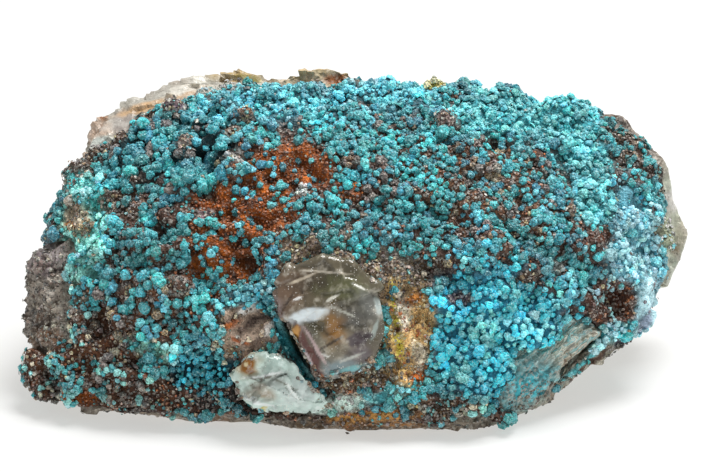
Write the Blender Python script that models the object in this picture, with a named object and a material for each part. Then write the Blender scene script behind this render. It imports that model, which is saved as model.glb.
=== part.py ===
"""A mineral specimen: a botryoidal chrysocolla crust on a block of quartz, with two glassy quartz crystals.

Run it with: blender --background --python part.py
The model is in metres with +Z up. The stone rests on z = 0 with the origin under its middle, and its crusted
display face looks along -Y and a little upwards. All dimensions below are in millimetres, and each mesh is
scaled to metres when it is finished.

Places on the stone are given in the display frame: across (to the right), up (along the leaning face) and
toward (out of the face). That frame is the world turned by FACE_LEAN about the across axis.
"""

import math
import random

import bmesh
import bpy
from mathutils import Vector, noise
from mathutils.bvhtree import BVHTree
from mathutils.kdtree import KDTree

# Driving dimensions
MM = 0.001
FACE_LEAN = math.radians(20)
BASE_SHIFT = Vector((-0.22, -10.52, 0.0))
CRUST_THICKNESS = 3.0
CRUST_MESH = 1.4
SEAT_GAP = 0.4
POCKET_GAP = 0.45
FORM_HALF_SIZE = Vector((40.0, 21.0, 17.0))

ACROSS = Vector((1, 0, 0))
UP = Vector((0, math.sin(FACE_LEAN), math.cos(FACE_LEAN)))
TOWARD = Vector((0, -math.cos(FACE_LEAN), math.sin(FACE_LEAN)))

# Corners of the stone's outer form in the display frame: across, up, toward
TOP_RIM = [
    (-32.8, 31.0, -9), (-29.6, 34.4, -9), (-22.8, 37.6, -10), (-14.4, 39.0, -10), (-3.0, 39.4, -10),
    (9.0, 39.2, -10), (19.8, 38.0, -9), (26.8, 35.6, -9), (35.6, 34.2, -8), (38.4, 31.8, -7), (38.8, 26.6, -6),
]
RIGHT_RIM = [(38.6, 20.4, -5), (37.4, 14.4, -3), (36.2, 9.2, -1)]
BOTTOM_RIM = [
    (31.8, 6.8, 0), (28.6, 5.0, 1), (22.6, 1.9, 5), (18.8, -2.0, 9), (15.4, -4.0, 10.4), (10.4, -3.4, 11.2),
    (6.0, -0.2, 11.4), (-1.2, 0.2, 11.4), (-12.6, 0.3, 11.4), (-24.6, 0.2, 9.6), (-33.8, -1.0, 6.4),
    (-40.0, 0.2, 4),
]
LEFT_RIM = [(-40.8, 5.2, 0), (-39.8, 12.6, -2), (-38.8, 19.2, -4), (-36.0, 27.0, -7)]
LEDGE_RIM = [(-30.4, 33.8, -16), (-22.8, 37.6, -17), (-14.2, 39.4, -17), (-3.8, 39.6, -17), (38.9, 20.8, -13)]
FACE_CORNERS = [
    (0.0, 18.6, 14), (-12.6, 19.8, 12), (11.4, 18.6, 13), (-24.6, 18.6, 9), (24.6, 19.8, 9),
    (-31.8, 18.6, 5), (31.8, 19.8, 4), (0.0, 30.6, 5), (-15.0, 31.8, 3), (15.0, 30.6, 4),
    (-24.6, 30.6, 0), (27.0, 29.4, -1), (0.0, 4.2, 13), (-12.6, 4.2, 12.5), (11.4, 4.2, 13),
    (-24.6, 5.4, 10.5), (22.2, 6.6, 9.5), (-33.0, 6.6, 6), (30.6, 10.2, 4),
]
# Corners of the hidden back and of the underside, in world x, y, z
BACK_CORNERS = [
    (-31, 25.5, 24), (-22, 28.5, 28.5), (-2, 29.5, 29.5), (20, 28.5, 28.0), (-36, 21, 17), (-37, 14, 6),
    (-31, 25, 9), (38, 20, 20), (34, 24, 8), (-18, 33.5, 19), (6, 35, 17), (25, 31, 16), (-14, 31, 4),
    (10, 32, 3.5), (24, 26, 3),
]
BASE_CORNERS = [
    (-32, 4, -1), (-26, 22, -1), (5, 27, -1), (22, 20, -1), (20, 0, -1), (13, -3.5, -1), (-4, 1, -1),
    (-27, 1, -1),
]

# Broken quartz layers that stand out behind the crust: three pale ledges at the upper left, a weathered one
# on top, and a point at the right. Each is the outline of its front face, how far toward the front that
# stands, and how far its rear end lies behind it and sinks.
LEDGES = [
    ([(-32.8, 31.2), (-31.3, 34.2), (-30.2, 35.1), (-28.6, 35.6), (-26.8, 33.4), (-29.0, 29.6)], -12.2, 8.0, 3.6),
    (
        [(-29.2, 34.6), (-29.0, 36.1), (-25.8, 37.1), (-22.8, 38.6), (-18.6, 39.5), (-16.0, 39.9),
         (-15.0, 37.6), (-24.0, 34.0)],
        -13.6, 8.4, 4.4,
    ),
    ([(-17.0, 38.2), (-16.4, 39.6), (-14.2, 40.8), (-11.2, 39.6), (-10.8, 37.0), (-16.0, 36.6)], -13.6, 7.8, 4.2),
    (
        [(-9.0, 37.6), (-8.8, 39.9), (-6.6, 40.3), (-3.8, 40.7), (-1.2, 40.5), (1.2, 39.4), (1.6, 37.6)],
        -13.4, 7.6, 4.4,
    ),
    (
        [(36.0, 28.8), (37.4, 27.0), (38.2, 24.6), (40.4, 20.8), (39.3, 17.2), (37.8, 14.2), (35.6, 16.0),
         (34.6, 24.0)],
        -8.6, 9.5, 3.0,
    ),
]

# Mounds where a quartz crystal lifts the crust, and hollows in it: across, up, height or depth, radius
MOUNDS = [
    (-22.2, 35.2, 1.3, 2.6), (-14.2, 34.6, 1.1, 2.4), (0.6, 35.0, 1.5, 2.6), (11.0, 33.6, 1.7, 2.6),
    (26.6, 34.8, 1.6, 2.8), (-30.0, 22.0, 0.9, 3.0), (-6.0, 24.6, 1.0, 2.6), (17.5, 24.0, 1.2, 2.8),
    (27.0, 22.5, 1.0, 3.2), (7.5, 25.5, 1.1, 2.8), (-25.5, 13.5, 1.0, 2.6), (20.0, 9.5, 1.0, 3.0),
    (13.5, 0.8, 1.3, 3.2), (9.5, 13.0, 0.8, 2.8), (-20.5, 26.5, 1.0, 2.8), (34.0, 16.5, 0.8, 3.0),
]
HOLLOWS = [
    (-18.0, 4.4, 3.2, 4.6), (-16.5, 22.5, 1.5, 5.0), (-5.0, 27.0, 1.1, 4.5), (-31.0, 10.0, 1.6, 2.8),
    (-23.0, 16.5, 1.0, 3.2), (31.5, 12.5, 1.1, 3.2), (4.5, 31.5, 0.9, 3.0), (17.0, 7.0, 1.2, 2.6),
]
LUMP_RADII = (1.7, 2.6)
LUMP_SPACING = 1.45
LUMP_SEED = 11

# The smoky crystal and the white crystal: front outline and ridge points, then the buried back
SMOKY_FRONT = [
    (-9.8, 13.4, 14.6), (-7.6, 16.6, 15.2), (-3.8, 17.6, 15.4), (-0.4, 17.2, 15.6), (2.6, 14.4, 15.4),
    (3.4, 9.2, 15.0), (2.0, 5.4, 14.4), (-1.2, 3.4, 14.0), (-4.4, 2.8, 13.6), (-6.8, 6.4, 14.4),
    (-8.8, 10.2, 14.6), (-6.4, 12.2, 16.2), (0.0, 12.8, 16.6), (-2.0, 6.6, 15.4),
]
SMOKY_BACK = [(-6.6, 13.0, 7), (-2.6, 14.6, 7), (1.0, 11.4, 7), (0.4, 6.4, 7), (-4.0, 5.4, 7), (-6.6, 9.0, 7)]
WHITE_FRONT = [
    (-14.6, 4.4, 13.4), (-11.6, 6.4, 14.2), (-8.8, 6.2, 14.6), (-6.2, 3.8, 14.2), (-3.4, 1.0, 13.4),
    (-2.2, -0.2, 12.6), (-4.4, -0.9, 12.2), (-9.0, -1.0, 12.2), (-12.2, -0.6, 12.2), (-14.4, 1.4, 12.6),
    (-10.4, 2.6, 15.6), (-6.4, 0.8, 14.8),
]
WHITE_BACK = [(-12.8, 3.6, 6.5), (-9.0, 4.4, 6.5), (-6.4, 2.0, 6.5), (-7.0, 0.6, 6.5), (-12.6, 0.8, 6.5)]


def in_world(place):
    """A display-frame place (across, up, toward) as a world point, both in millimetres."""
    across, up, toward = place
    return ACROSS * across + UP * up + TOWARD * toward


def in_display(point):
    """A world point as its place in the display frame."""
    return point.dot(ACROSS), point.dot(UP), point.dot(TOWARD)


def smooth_step(low, high, value):
    """0 at low, 1 at high, with a smooth change between them; low may be the greater."""
    share = min(1.0, max(0.0, (value - low) / (high - low)))
    return share * share * (3 - 2 * share)


# Shapes that the pieces share
def hull_of(points):
    """The convex hull of world points, as a bmesh with nothing left inside it."""
    bm = bmesh.new()
    for point in points:
        bm.verts.new(point)
    hull = bmesh.ops.convex_hull(bm, input=bm.verts)
    inside = [item for item in hull["geom_interior"] if isinstance(item, bmesh.types.BMVert)]
    bmesh.ops.delete(bm, geom=inside, context="VERTS")
    bmesh.ops.recalc_face_normals(bm, faces=bm.faces)
    return bm


def tree_of(bm):
    tree = BVHTree.FromBMesh(bm)
    bm.free()
    return tree


FORM_CENTRE = in_world((0.0, 17.5, -8.0))


def ball_on(tree, subdivisions, smoothing=0):
    """A ball whose vertices are pushed from FORM_CENTRE out to the tree's surface."""
    bm = bmesh.new()
    bmesh.ops.create_icosphere(bm, subdivisions=subdivisions, radius=1.0)
    for vert in bm.verts:
        ray = (vert.co.normalized() * FORM_HALF_SIZE).normalized()
        vert.co = tree.ray_cast(FORM_CENTRE, ray)[0]
    for _ in range(smoothing):
        bmesh.ops.smooth_vert(bm, verts=bm.verts, factor=0.5, use_axis_x=True, use_axis_y=True, use_axis_z=True)
    return bm


def stone_form():
    """The whole stone's rounded outer form, before its crust, ledges and breaks."""
    rims = TOP_RIM + RIGHT_RIM + BOTTOM_RIM + LEFT_RIM + LEDGE_RIM
    corners = [in_world(place) for place in rims + FACE_CORNERS]
    corners += [Vector(corner) for corner in BACK_CORNERS + BASE_CORNERS]
    return tree_of(ball_on(tree_of(hull_of(corners)), subdivisions=6, smoothing=3))


def even_skin(size):
    """The form again as a bmesh of triangles that are all about one size."""
    coarse = ball_on(FORM, subdivisions=5)
    holder = object_from("even_skin", coarse)
    remesh = holder.modifiers.new("even", "REMESH")
    remesh.mode = "VOXEL"
    remesh.voxel_size = size
    bpy.context.view_layer.update()
    bm = bmesh.new()
    bm.from_object(holder, bpy.context.evaluated_depsgraph_get())
    bpy.data.objects.remove(holder, do_unlink=True)
    bmesh.ops.triangulate(bm, faces=bm.faces)
    return bm


def on_face(across, up):
    """The world point of the form's display side at this place across and up."""
    return FORM.ray_cast(in_world((across, up, 60.0)), -TOWARD)[0]


def hollow_depth(point):
    depths = [depth * smooth_step(radius, 0.0, (point - spot).length) for spot, depth, radius in HOLLOW_SPOTS]
    return max(depths)


# Where the crust lies
def crust_cover(point):
    """How far inside the crust's edge a point of the form is, in millimetres; negative where it is bare."""
    across, up, toward = in_display(point)
    rear_edge = -13.0 + 3.6 * smooth_step(-14, -26, across) + 6.0 * smooth_step(26, 36, across)
    lower_edge = 9.0 - 0.0075 * (across + 2) ** 2
    edge = rear_edge + (lower_edge - rear_edge) * smooth_step(9.0, 3.0, up)
    wander = 0.9 * noise.noise(point * 0.22)
    broken_left_side = max(abs(up - 12.8) - 5.8, across + 35.6)
    start, end = Vector((19.6, 1.6)), Vector((27.4, 8.2))
    along = min(1.0, max(0.0, (Vector((across, up)) - start).dot(end - start) / (end - start).length_squared))
    torn_strip = (Vector((across, up)) - start.lerp(end, along)).length - 1.5
    return min(toward - edge, broken_left_side, torn_strip, point.z - 0.6) + wander


def lump_spots():
    """Centres and radii of the crust's rounded lumps, spread evenly over the covered part of the form."""
    chooser = random.Random(LUMP_SEED)
    bm = even_skin(CRUST_MESH)
    places = [vert.co.copy() for vert in bm.verts]
    bm.free()
    chooser.shuffle(places)
    kept = [(on_face(across, up), radius, height) for across, up, height, radius in MOUNDS]
    spots = [(spot + (spot - FORM_CENTRE).normalized() * (height - radius), radius) for spot, radius, height in kept]
    taken = [spot for spot, _radius, _height in kept]
    radii = [radius for _spot, radius, _height in kept]
    for place in places:
        if crust_cover(place) < 1.4:
            continue
        radius = chooser.uniform(*LUMP_RADII)
        if any((place - other).length < LUMP_SPACING * 0.5 * (radius + wide) for other, wide in zip(taken, radii)):
            continue
        taken.append(place)
        radii.append(radius)
        sunk = radius * 0.72 + hollow_depth(place)
        spots.append((place - (place - FORM_CENTRE).normalized() * sunk, radius))
    return spots


def crust_surface():
    """A closed form whose surface is the crust's lumpy outside; where the stone is bare it lies below it."""
    spots = lump_spots()
    finder = KDTree(len(spots))
    for index, (spot, _radius) in enumerate(spots):
        finder.insert(spot, index)
    finder.balance()
    bm = even_skin(CRUST_MESH)
    for vert in bm.verts:
        ray = (vert.co - FORM_CENTRE).normalized()
        reach = (vert.co - FORM_CENTRE).length
        outermost = reach - 0.9 - hollow_depth(vert.co)
        for spot, index, _distance in finder.find_range(vert.co, 6.0):
            radius = spots[index][1]
            middle = (spot - FORM_CENTRE).dot(ray)
            miss = (spot - FORM_CENTRE - ray * middle).length
            if miss < radius:
                outermost = max(outermost, middle + math.sqrt(radius * radius - miss * miss))
        bare = smooth_step(0.7, -0.9, crust_cover(vert.co))
        vert.co = FORM_CENTRE + ray * (outermost - 6.5 * bare)
    return bm


def ledge(outline, front, length, fall):
    """One broken layer: its front face's outline drawn back into the stone, sinking and narrowing."""
    middle = sum((Vector(corner) for corner in outline), Vector((0, 0))) / len(outline)
    corners = [in_world((across, up, front)) for across, up in outline]
    for corner in outline:
        across, up = Vector(corner).lerp(middle, 0.4)
        corners.append(in_world((across, up - fall, front - length)))
    return hull_of(corners)


def quartz_surface(grow=0.0):
    """The quartz block: the form with room left for the crust, broken faces on its bare sides, cut flat below."""
    bm = ball_on(FORM, subdivisions=4)
    for vert in bm.verts:
        ray = (vert.co - FORM_CENTRE).normalized()
        covered = smooth_step(-0.6, 2.2, crust_cover(vert.co))
        hackle = 0.9 * noise.fractal(vert.co * 0.11, 0.8, 2.1, 3) * (1 - covered)
        sunk = (CRUST_THICKNESS + hollow_depth(vert.co)) * covered
        vert.co += ray * (hackle - sunk + grow)
    cut_flat(bm, 0.0)
    return bm


def cut_flat(bm, height):
    """Cuts a bmesh off at a height and closes it with one flat face."""
    everything = bm.verts[:] + bm.edges[:] + bm.faces[:]
    cut = bmesh.ops.bisect_plane(
        bm, geom=everything, plane_co=(0, 0, height), plane_no=(0, 0, -1), clear_outer=True
    )
    rim = [item for item in cut["geom_cut"] if isinstance(item, bmesh.types.BMEdge)]
    bmesh.ops.contextual_create(bm, geom=rim)
    bmesh.ops.recalc_face_normals(bm, faces=bm.faces)


def crystal(front, back, grow=0.0):
    """A broken crystal as the hull of its corners, grown all round where it is to cut its own pocket."""
    corners = [in_world(place) for place in front + back]
    middle = sum(corners, Vector()) / len(corners)
    return hull_of([corner + (corner - middle).normalized() * grow for corner in corners])


# Objects
def material(name, colour, roughness, transmission=0.0):
    made = bpy.data.materials.new(name)
    made.use_nodes = True
    shader = made.node_tree.nodes["Principled BSDF"]
    shader.inputs["Base Color"].default_value = (*colour, 1.0)
    shader.inputs["Roughness"].default_value = roughness
    shader.inputs["Transmission Weight"].default_value = transmission
    return made


def object_from(name, bm, look=None):
    """Links a bmesh as an object, still in millimetres."""
    mesh = bpy.data.meshes.new(name)
    bm.to_mesh(mesh)
    bm.free()
    made = bpy.data.objects.new(name, mesh)
    bpy.context.scene.collection.objects.link(made)
    if look:
        mesh.materials.append(look)
    return made


def cutter_from(name, bm):
    made = object_from(name, bm)
    made.hide_render = True
    made.display_type = "WIRE"
    return made


def combine(target, operation, other):
    step = target.modifiers.new(other.name, "BOOLEAN")
    step.operation = operation
    step.object = other


def finish(target):
    """Applies the cuts, drops the crumbs that they left beside the main body, and sets it in metres."""
    view = bpy.context.evaluated_depsgraph_get()
    bm = bmesh.new()
    bm.from_object(target, view)
    target.modifiers.clear()
    unseen = set(bm.verts)
    pieces = []
    while unseen:
        front = [unseen.pop()]
        piece = set(front)
        while front:
            vert = front.pop()
            around = {edge.other_vert(vert) for edge in vert.link_edges}
            front.extend(around - piece)
            piece |= around
        unseen -= piece
        pieces.append(piece)
    largest = max(pieces, key=len)
    crumbs = [vert for piece in pieces if piece is not largest for vert in piece]
    bmesh.ops.delete(bm, geom=crumbs, context="VERTS")
    bmesh.ops.translate(bm, vec=BASE_SHIFT, verts=bm.verts)
    bmesh.ops.scale(bm, vec=Vector((MM, MM, MM)), verts=bm.verts)
    bm.to_mesh(target.data)
    bm.free()


def clear_scene():
    for thing in list(bpy.data.objects):
        bpy.data.objects.remove(thing, do_unlink=True)


def build():
    quartz_look = material("matrix quartz", (0.45, 0.40, 0.32), 0.6)
    crust_look = material("chrysocolla", (0.07, 0.38, 0.42), 0.5)
    smoky_look = material("smoky quartz", (0.5, 0.46, 0.36), 0.1, 0.8)
    white_look = material("white quartz", (0.8, 0.88, 0.86), 0.2, 0.5)

    seat = cutter_from("crust_seat", quartz_surface(grow=SEAT_GAP))
    pockets = [
        cutter_from("smoky_pocket", crystal(SMOKY_FRONT, SMOKY_BACK, POCKET_GAP)),
        cutter_from("white_pocket", crystal(WHITE_FRONT, WHITE_BACK, POCKET_GAP)),
    ]
    ledges = [cutter_from(f"ledge_{index}", ledge(*shape)) for index, shape in enumerate(LEDGES)]
    quartz = object_from("quartz_matrix", quartz_surface(), quartz_look)
    crust = object_from("chrysocolla_crust", crust_surface(), crust_look)
    smoky = object_from("smoky_quartz", crystal(SMOKY_FRONT, SMOKY_BACK), smoky_look)
    white = object_from("white_quartz", crystal(WHITE_FRONT, WHITE_BACK), white_look)
    for layer in ledges:
        combine(quartz, "UNION", layer)
    combine(crust, "DIFFERENCE", seat)
    for pocket in pockets:
        combine(quartz, "DIFFERENCE", pocket)
        combine(crust, "DIFFERENCE", pocket)
    bpy.context.view_layer.update()
    for node in (quartz, crust, smoky, white):
        finish(node)
    for cutter in [seat] + pockets + ledges:
        bpy.data.objects.remove(cutter, do_unlink=True)


clear_scene()
FORM = stone_form()
HOLLOW_SPOTS = [(on_face(across, up), depth, radius) for across, up, depth, radius in HOLLOWS]
build()
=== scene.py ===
# %% [markdown]
# # Chrysocolla on quartz
#
# This lesson dresses a mineral specimen: a teal crust of tiny crystal-coated balls on a broken block of
# quartz, with a smoky and a white quartz crystal set in it. The solid model gives every main shape. It could
# be painted as it is, but a druse is thousands of grains, so the steps below grow them on its surface.
#
# The first cell loads the solid model, which stays where it is.

import math
from collections import Counter

import bmesh
import bpy
import numpy as np
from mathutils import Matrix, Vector, noise
from mathutils.bvhtree import BVHTree
from mathutils.kdtree import KDTree


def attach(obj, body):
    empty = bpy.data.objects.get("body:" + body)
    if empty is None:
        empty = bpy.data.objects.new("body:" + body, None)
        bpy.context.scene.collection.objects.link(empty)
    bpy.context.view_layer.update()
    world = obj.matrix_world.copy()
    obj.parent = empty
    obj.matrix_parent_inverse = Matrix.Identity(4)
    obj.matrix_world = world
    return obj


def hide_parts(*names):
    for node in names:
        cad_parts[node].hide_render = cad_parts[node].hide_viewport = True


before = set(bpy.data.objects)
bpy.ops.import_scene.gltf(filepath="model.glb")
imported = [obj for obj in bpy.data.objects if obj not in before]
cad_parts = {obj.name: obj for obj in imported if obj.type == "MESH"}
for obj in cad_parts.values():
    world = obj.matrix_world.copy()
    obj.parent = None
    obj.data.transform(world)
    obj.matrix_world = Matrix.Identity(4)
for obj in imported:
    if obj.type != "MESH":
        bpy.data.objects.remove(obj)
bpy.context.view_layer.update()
MM = 0.001

# %% [markdown]
# The stone leans back, so places on its face are easiest to give in the face's own directions: across to the
# right, up along the leaning face, and toward the viewer, all in millimetres. World axes would work too, but
# then each place on the face would need three numbers that mean little to the eye.

# %% Directions of the display face
FACE_LEAN = math.radians(20)
ORIGIN_SHIFT = np.array((-0.22, -10.52, 0.0))
ACROSS = np.array((1.0, 0.0, 0.0))
UP = np.array((0.0, math.sin(FACE_LEAN), math.cos(FACE_LEAN)))
TOWARD = np.array((0.0, -math.cos(FACE_LEAN), math.sin(FACE_LEAN)))
FACE_AXES = np.stack((ACROSS, UP, TOWARD))


def to_world(places):
    """Places on the face (across, up, toward), in millimetres, as world points in metres."""
    return (np.asarray(places, float) @ FACE_AXES + ORIGIN_SHIFT) * MM


def to_face(points):
    """World points in metres as places on the face, in millimetres."""
    return (np.asarray(points, float) / MM - ORIGIN_SHIFT) @ FACE_AXES.T


print("the face's middle is at", to_world((0, 18.6, 14)).round(4))

# %% [markdown]
# ## Camera
#
# The specimen was seen from a little above, with a long lens. A long lens keeps its sides nearly parallel, so
# the camera stands 0.7 m away with a narrow view. Its aim is the middle of the picture. A short lens close by
# would show the front balls too large.

# %% Camera
CAMERA_DISTANCE = 700.0
PICTURE_WIDTH = 84.96
SENSOR_WIDTH = 36.0
AIM = (-0.12, 20.28)


def linked(name, data):
    """A new object in the scene for a mesh, a camera or a lamp."""
    made = bpy.data.objects.new(name, data)
    bpy.context.scene.collection.objects.link(made)
    return made


camera_data = bpy.data.cameras.new("camera")
camera_data.sensor_width = SENSOR_WIDTH
camera_data.lens = SENSOR_WIDTH * CAMERA_DISTANCE / PICTURE_WIDTH
camera = linked("camera", camera_data)
camera.location = Vector(to_world((*AIM, CAMERA_DISTANCE)))
camera.rotation_euler = Vector(-TOWARD).to_track_quat("-Z", "Y").to_euler()
bpy.context.scene.camera = camera
print("lens, mm:", round(camera_data.lens, 1))

# %% [markdown]
# ## Floor and light
#
# The specimen stands on a white sheet under soft light that comes from above and slightly from the right. A
# bright even world gives the white surroundings, and one large lamp above gives the balls their bright tops
# and the stone its soft shadow. The sheet itself glows a little, like a light table, which keeps that shadow
# pale. Several small lamps would draw hard spots on each tiny crystal.

# %% Floor
PAPER_TONE = 0.4
PAPER_GRAIN = 60
PAPER_CONTRAST = 0.03
SHEET_GLOW = 0.52
SHEET_GLOW_COLOUR = (1.0, 1.0, 0.97, 1.0)
FLOOR_HALF_SIZE = 3.0


def material(name):
    """An empty node material: its tree and its Principled shader."""
    made = bpy.data.materials.new(name)
    made.use_nodes = True
    return made, made.node_tree, made.node_tree.nodes["Principled BSDF"]


floor_look, floor_tree, floor_shader = material("white_sheet")
paper_noise = floor_tree.nodes.new("ShaderNodeTexNoise")
paper_noise.inputs["Scale"].default_value = PAPER_GRAIN
paper_tone = floor_tree.nodes.new("ShaderNodeMapRange")
paper_tone.inputs["To Min"].default_value = PAPER_TONE
paper_tone.inputs["To Max"].default_value = PAPER_TONE + PAPER_CONTRAST
floor_tree.links.new(paper_noise.outputs["Fac"], paper_tone.inputs["Value"])
floor_tree.links.new(paper_tone.outputs["Result"], floor_shader.inputs["Base Color"])
floor_shader.inputs["Roughness"].default_value = 0.9
floor_shader.inputs["Specular IOR Level"].default_value = 0.1
floor_shader.inputs["Emission Color"].default_value = SHEET_GLOW_COLOUR
floor_shader.inputs["Emission Strength"].default_value = SHEET_GLOW
bm = bmesh.new()
bmesh.ops.create_grid(bm, x_segments=2, y_segments=2, size=FLOOR_HALF_SIZE)
floor_mesh = bpy.data.meshes.new("floor")
bm.to_mesh(floor_mesh)
bm.free()
floor_mesh.materials.append(floor_look)
floor = linked("floor", floor_mesh)
print("floor, m:", 2 * FLOOR_HALF_SIZE)

# %% Light
WORLD_STRENGTH = 0.36
LAMP_POWER = 4.6
LAMP_SIZE = 0.32
LAMP_PLACE = (0.16, 0.08, 0.60)
LAMP_AIM = Vector((0, 0, 0.01))
world = bpy.data.worlds.new("white_room")
world.use_nodes = True
world.node_tree.nodes["Background"].inputs["Color"].default_value = (1.0, 1.0, 1.0, 1.0)
world.node_tree.nodes["Background"].inputs["Strength"].default_value = WORLD_STRENGTH
bpy.context.scene.world = world

lamp_data = bpy.data.lights.new("soft_lamp", "AREA")
lamp_data.shape = "RECTANGLE"
lamp_data.size = LAMP_SIZE
lamp_data.size_y = LAMP_SIZE
lamp_data.energy = LAMP_POWER
lamp = linked("soft_lamp", lamp_data)
lamp.location = LAMP_PLACE
lamp.rotation_euler = (LAMP_AIM - lamp.location).to_track_quat("-Z", "Y").to_euler()
bpy.context.scene.view_settings.view_transform = "Standard"
print("world", WORLD_STRENGTH, "lamp", LAMP_POWER, "W")

# %% [markdown]
# ## Colour families
#
# A druse takes its colour from what its quartz skin covers: teal where that is pure chrysocolla, sky blue and
# cyan where it is fine and thin, grey brown over clay and manganese, orange and dark red over iron oxides.
# Each family below has the colour of its lit balls, the colour of the ground between them, and how speckled
# it is, from 0 to 1. The ground colour is partly the ground's own and partly painted shade: it is much darker
# than the balls, since the crevices between them lie in shade. One noise texture could mix them too, but on
# this stone each patch has its own mix, so each is stated.

# %% Colour families
FAMILIES = {
    "teal": ((62, 192, 196), (6, 64, 68), 0.25),
    "deep": ((18, 152, 164), (3, 68, 78), 0.25),
    "sky": ((120, 226, 238), (48, 138, 156), 0.22),
    "azure": ((60, 164, 186), (14, 80, 96), 0.3),
    "cyan": ((142, 244, 246), (56, 176, 188), 0.25),
    "blue": ((62, 228, 250), (2, 126, 156), 0.12),
    "pale": ((192, 244, 252), (136, 206, 224), 0.25),
    "mint": ((172, 255, 246), (134, 232, 220), 0.25),
    "cream": ((236, 222, 192), (200, 182, 148), 0.7),
    "grey": ((142, 124, 116), (92, 74, 66), 1.0),
    "lilac": ((152, 138, 150), (104, 90, 104), 0.9),
    "tan": ((188, 156, 116), (150, 118, 82), 0.9),
    "rust": ((212, 112, 26), (170, 86, 10), 0.4),
    "red": ((118, 62, 34), (74, 34, 16), 0.8),
    "ochre": ((244, 212, 146), (216, 180, 112), 0.6),
    "yellow": ((255, 246, 184), (240, 220, 120), 0.7),
    "white": ((238, 234, 228), (206, 200, 190), 0.5),
    "brown": ((98, 72, 50), (64, 44, 28), 1.0),
}
FAMILY_NAMES = list(FAMILIES)


def linear(screen_colour):
    """A colour, or rows of colours, as seen on screen, 0 to 255, in the linear values that shaders use."""
    share = np.asarray(screen_colour, float) / 255
    return np.where(share <= 0.04045, share / 12.92, ((share + 0.055) / 1.055) ** 2.4)


# The ground colours carry painted shade for the crevices between the balls.
LIT, SHADED_GROUND = (linear([family[part] for family in FAMILIES.values()]) for part in (0, 1))
SPECKLE = np.array([family[2] for family in FAMILIES.values()])
print(len(FAMILIES), "colour families")

# %% [markdown]
# ## Patches of the crust
#
# The stone is patchy, so the patches are listed as ovals on the face, and laid over one another like paint:
# wide areas first, small marks last. Each gives its middle, half length, half width and turn, the mix of
# families in its balls, the mix in its ground, how many of the places for balls it fills, and the radius of
# the balls. Noise frays the edges of the ovals, and every ball draws its own family from the mix.

# %% Mixes of families
BALL_MIXES = {
    "teal": {"teal": 0.76, "deep": 0.1, "azure": 0.08, "sky": 0.06},
    "mixed": {"teal": 0.6, "azure": 0.16, "sky": 0.14, "deep": 0.1},
    "fine": {"sky": 0.72, "teal": 0.1, "azure": 0.08, "pale": 0.1},
    "fluff": {"cyan": 0.8, "teal": 0.14, "sky": 0.06},
    "bright": {"blue": 0.78, "cyan": 0.18, "pale": 0.04},
    "pale": {"pale": 0.8, "sky": 0.2},
    "mint": {"mint": 0.66, "teal": 0.26, "pale": 0.08},
    "crusty": {"cream": 0.4, "tan": 0.3, "sky": 0.3},
    "spotted": {"teal": 0.62, "azure": 0.16, "grey": 0.1, "tan": 0.04, "sky": 0.08},
    "chaotic": {"teal": 0.56, "mint": 0.16, "grey": 0.08, "cream": 0.1, "brown": 0.1},
    "hollow": {"deep": 0.6, "blue": 0.4},
    "white": {"white": 1.0},
    "yellow": {"yellow": 1.0},
}
GROUND_MIXES = {
    "teal": {"deep": 0.6, "teal": 0.2, "brown": 0.2},
    "sky": {"sky": 0.7, "grey": 0.3},
    "cyan": {"cyan": 0.8, "grey": 0.2},
    "blue": {"blue": 0.9, "pale": 0.1},
    "pale": {"pale": 0.8, "sky": 0.2},
    "mint": {"mint": 0.66, "cream": 0.24, "tan": 0.1},
    "grey": {"grey": 0.5, "teal": 0.2, "red": 0.2, "rust": 0.1},
    "spotted": {"grey": 0.4, "red": 0.26, "rust": 0.16, "tan": 0.18},
    "rust": {"rust": 0.88, "red": 0.12},
    "red": {"red": 0.7, "rust": 0.16, "brown": 0.14},
    "chaotic": {"red": 0.4, "rust": 0.16, "brown": 0.22, "tan": 0.12, "deep": 0.1},
    "brown": {"brown": 0.6, "grey": 0.3, "tan": 0.1},
    "dark": {"brown": 0.5, "deep": 0.3, "red": 0.2},
    "tan": {"tan": 0.5, "cream": 0.2, "grey": 0.2, "rust": 0.1},
    "lilac": {"lilac": 0.8, "grey": 0.2},
    "flange": {"pale": 0.5, "lilac": 0.3, "azure": 0.2},
    "ochre": {"ochre": 0.5, "rust": 0.2, "cream": 0.2, "tan": 0.1},
    "hollow": {"deep": 0.7, "blue": 0.3},
    "white": {"white": 0.8, "pale": 0.2},
    "yellow": {"yellow": 1.0},
}
print(len(BALL_MIXES), "mixes of balls,", len(GROUND_MIXES), "of ground")

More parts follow.
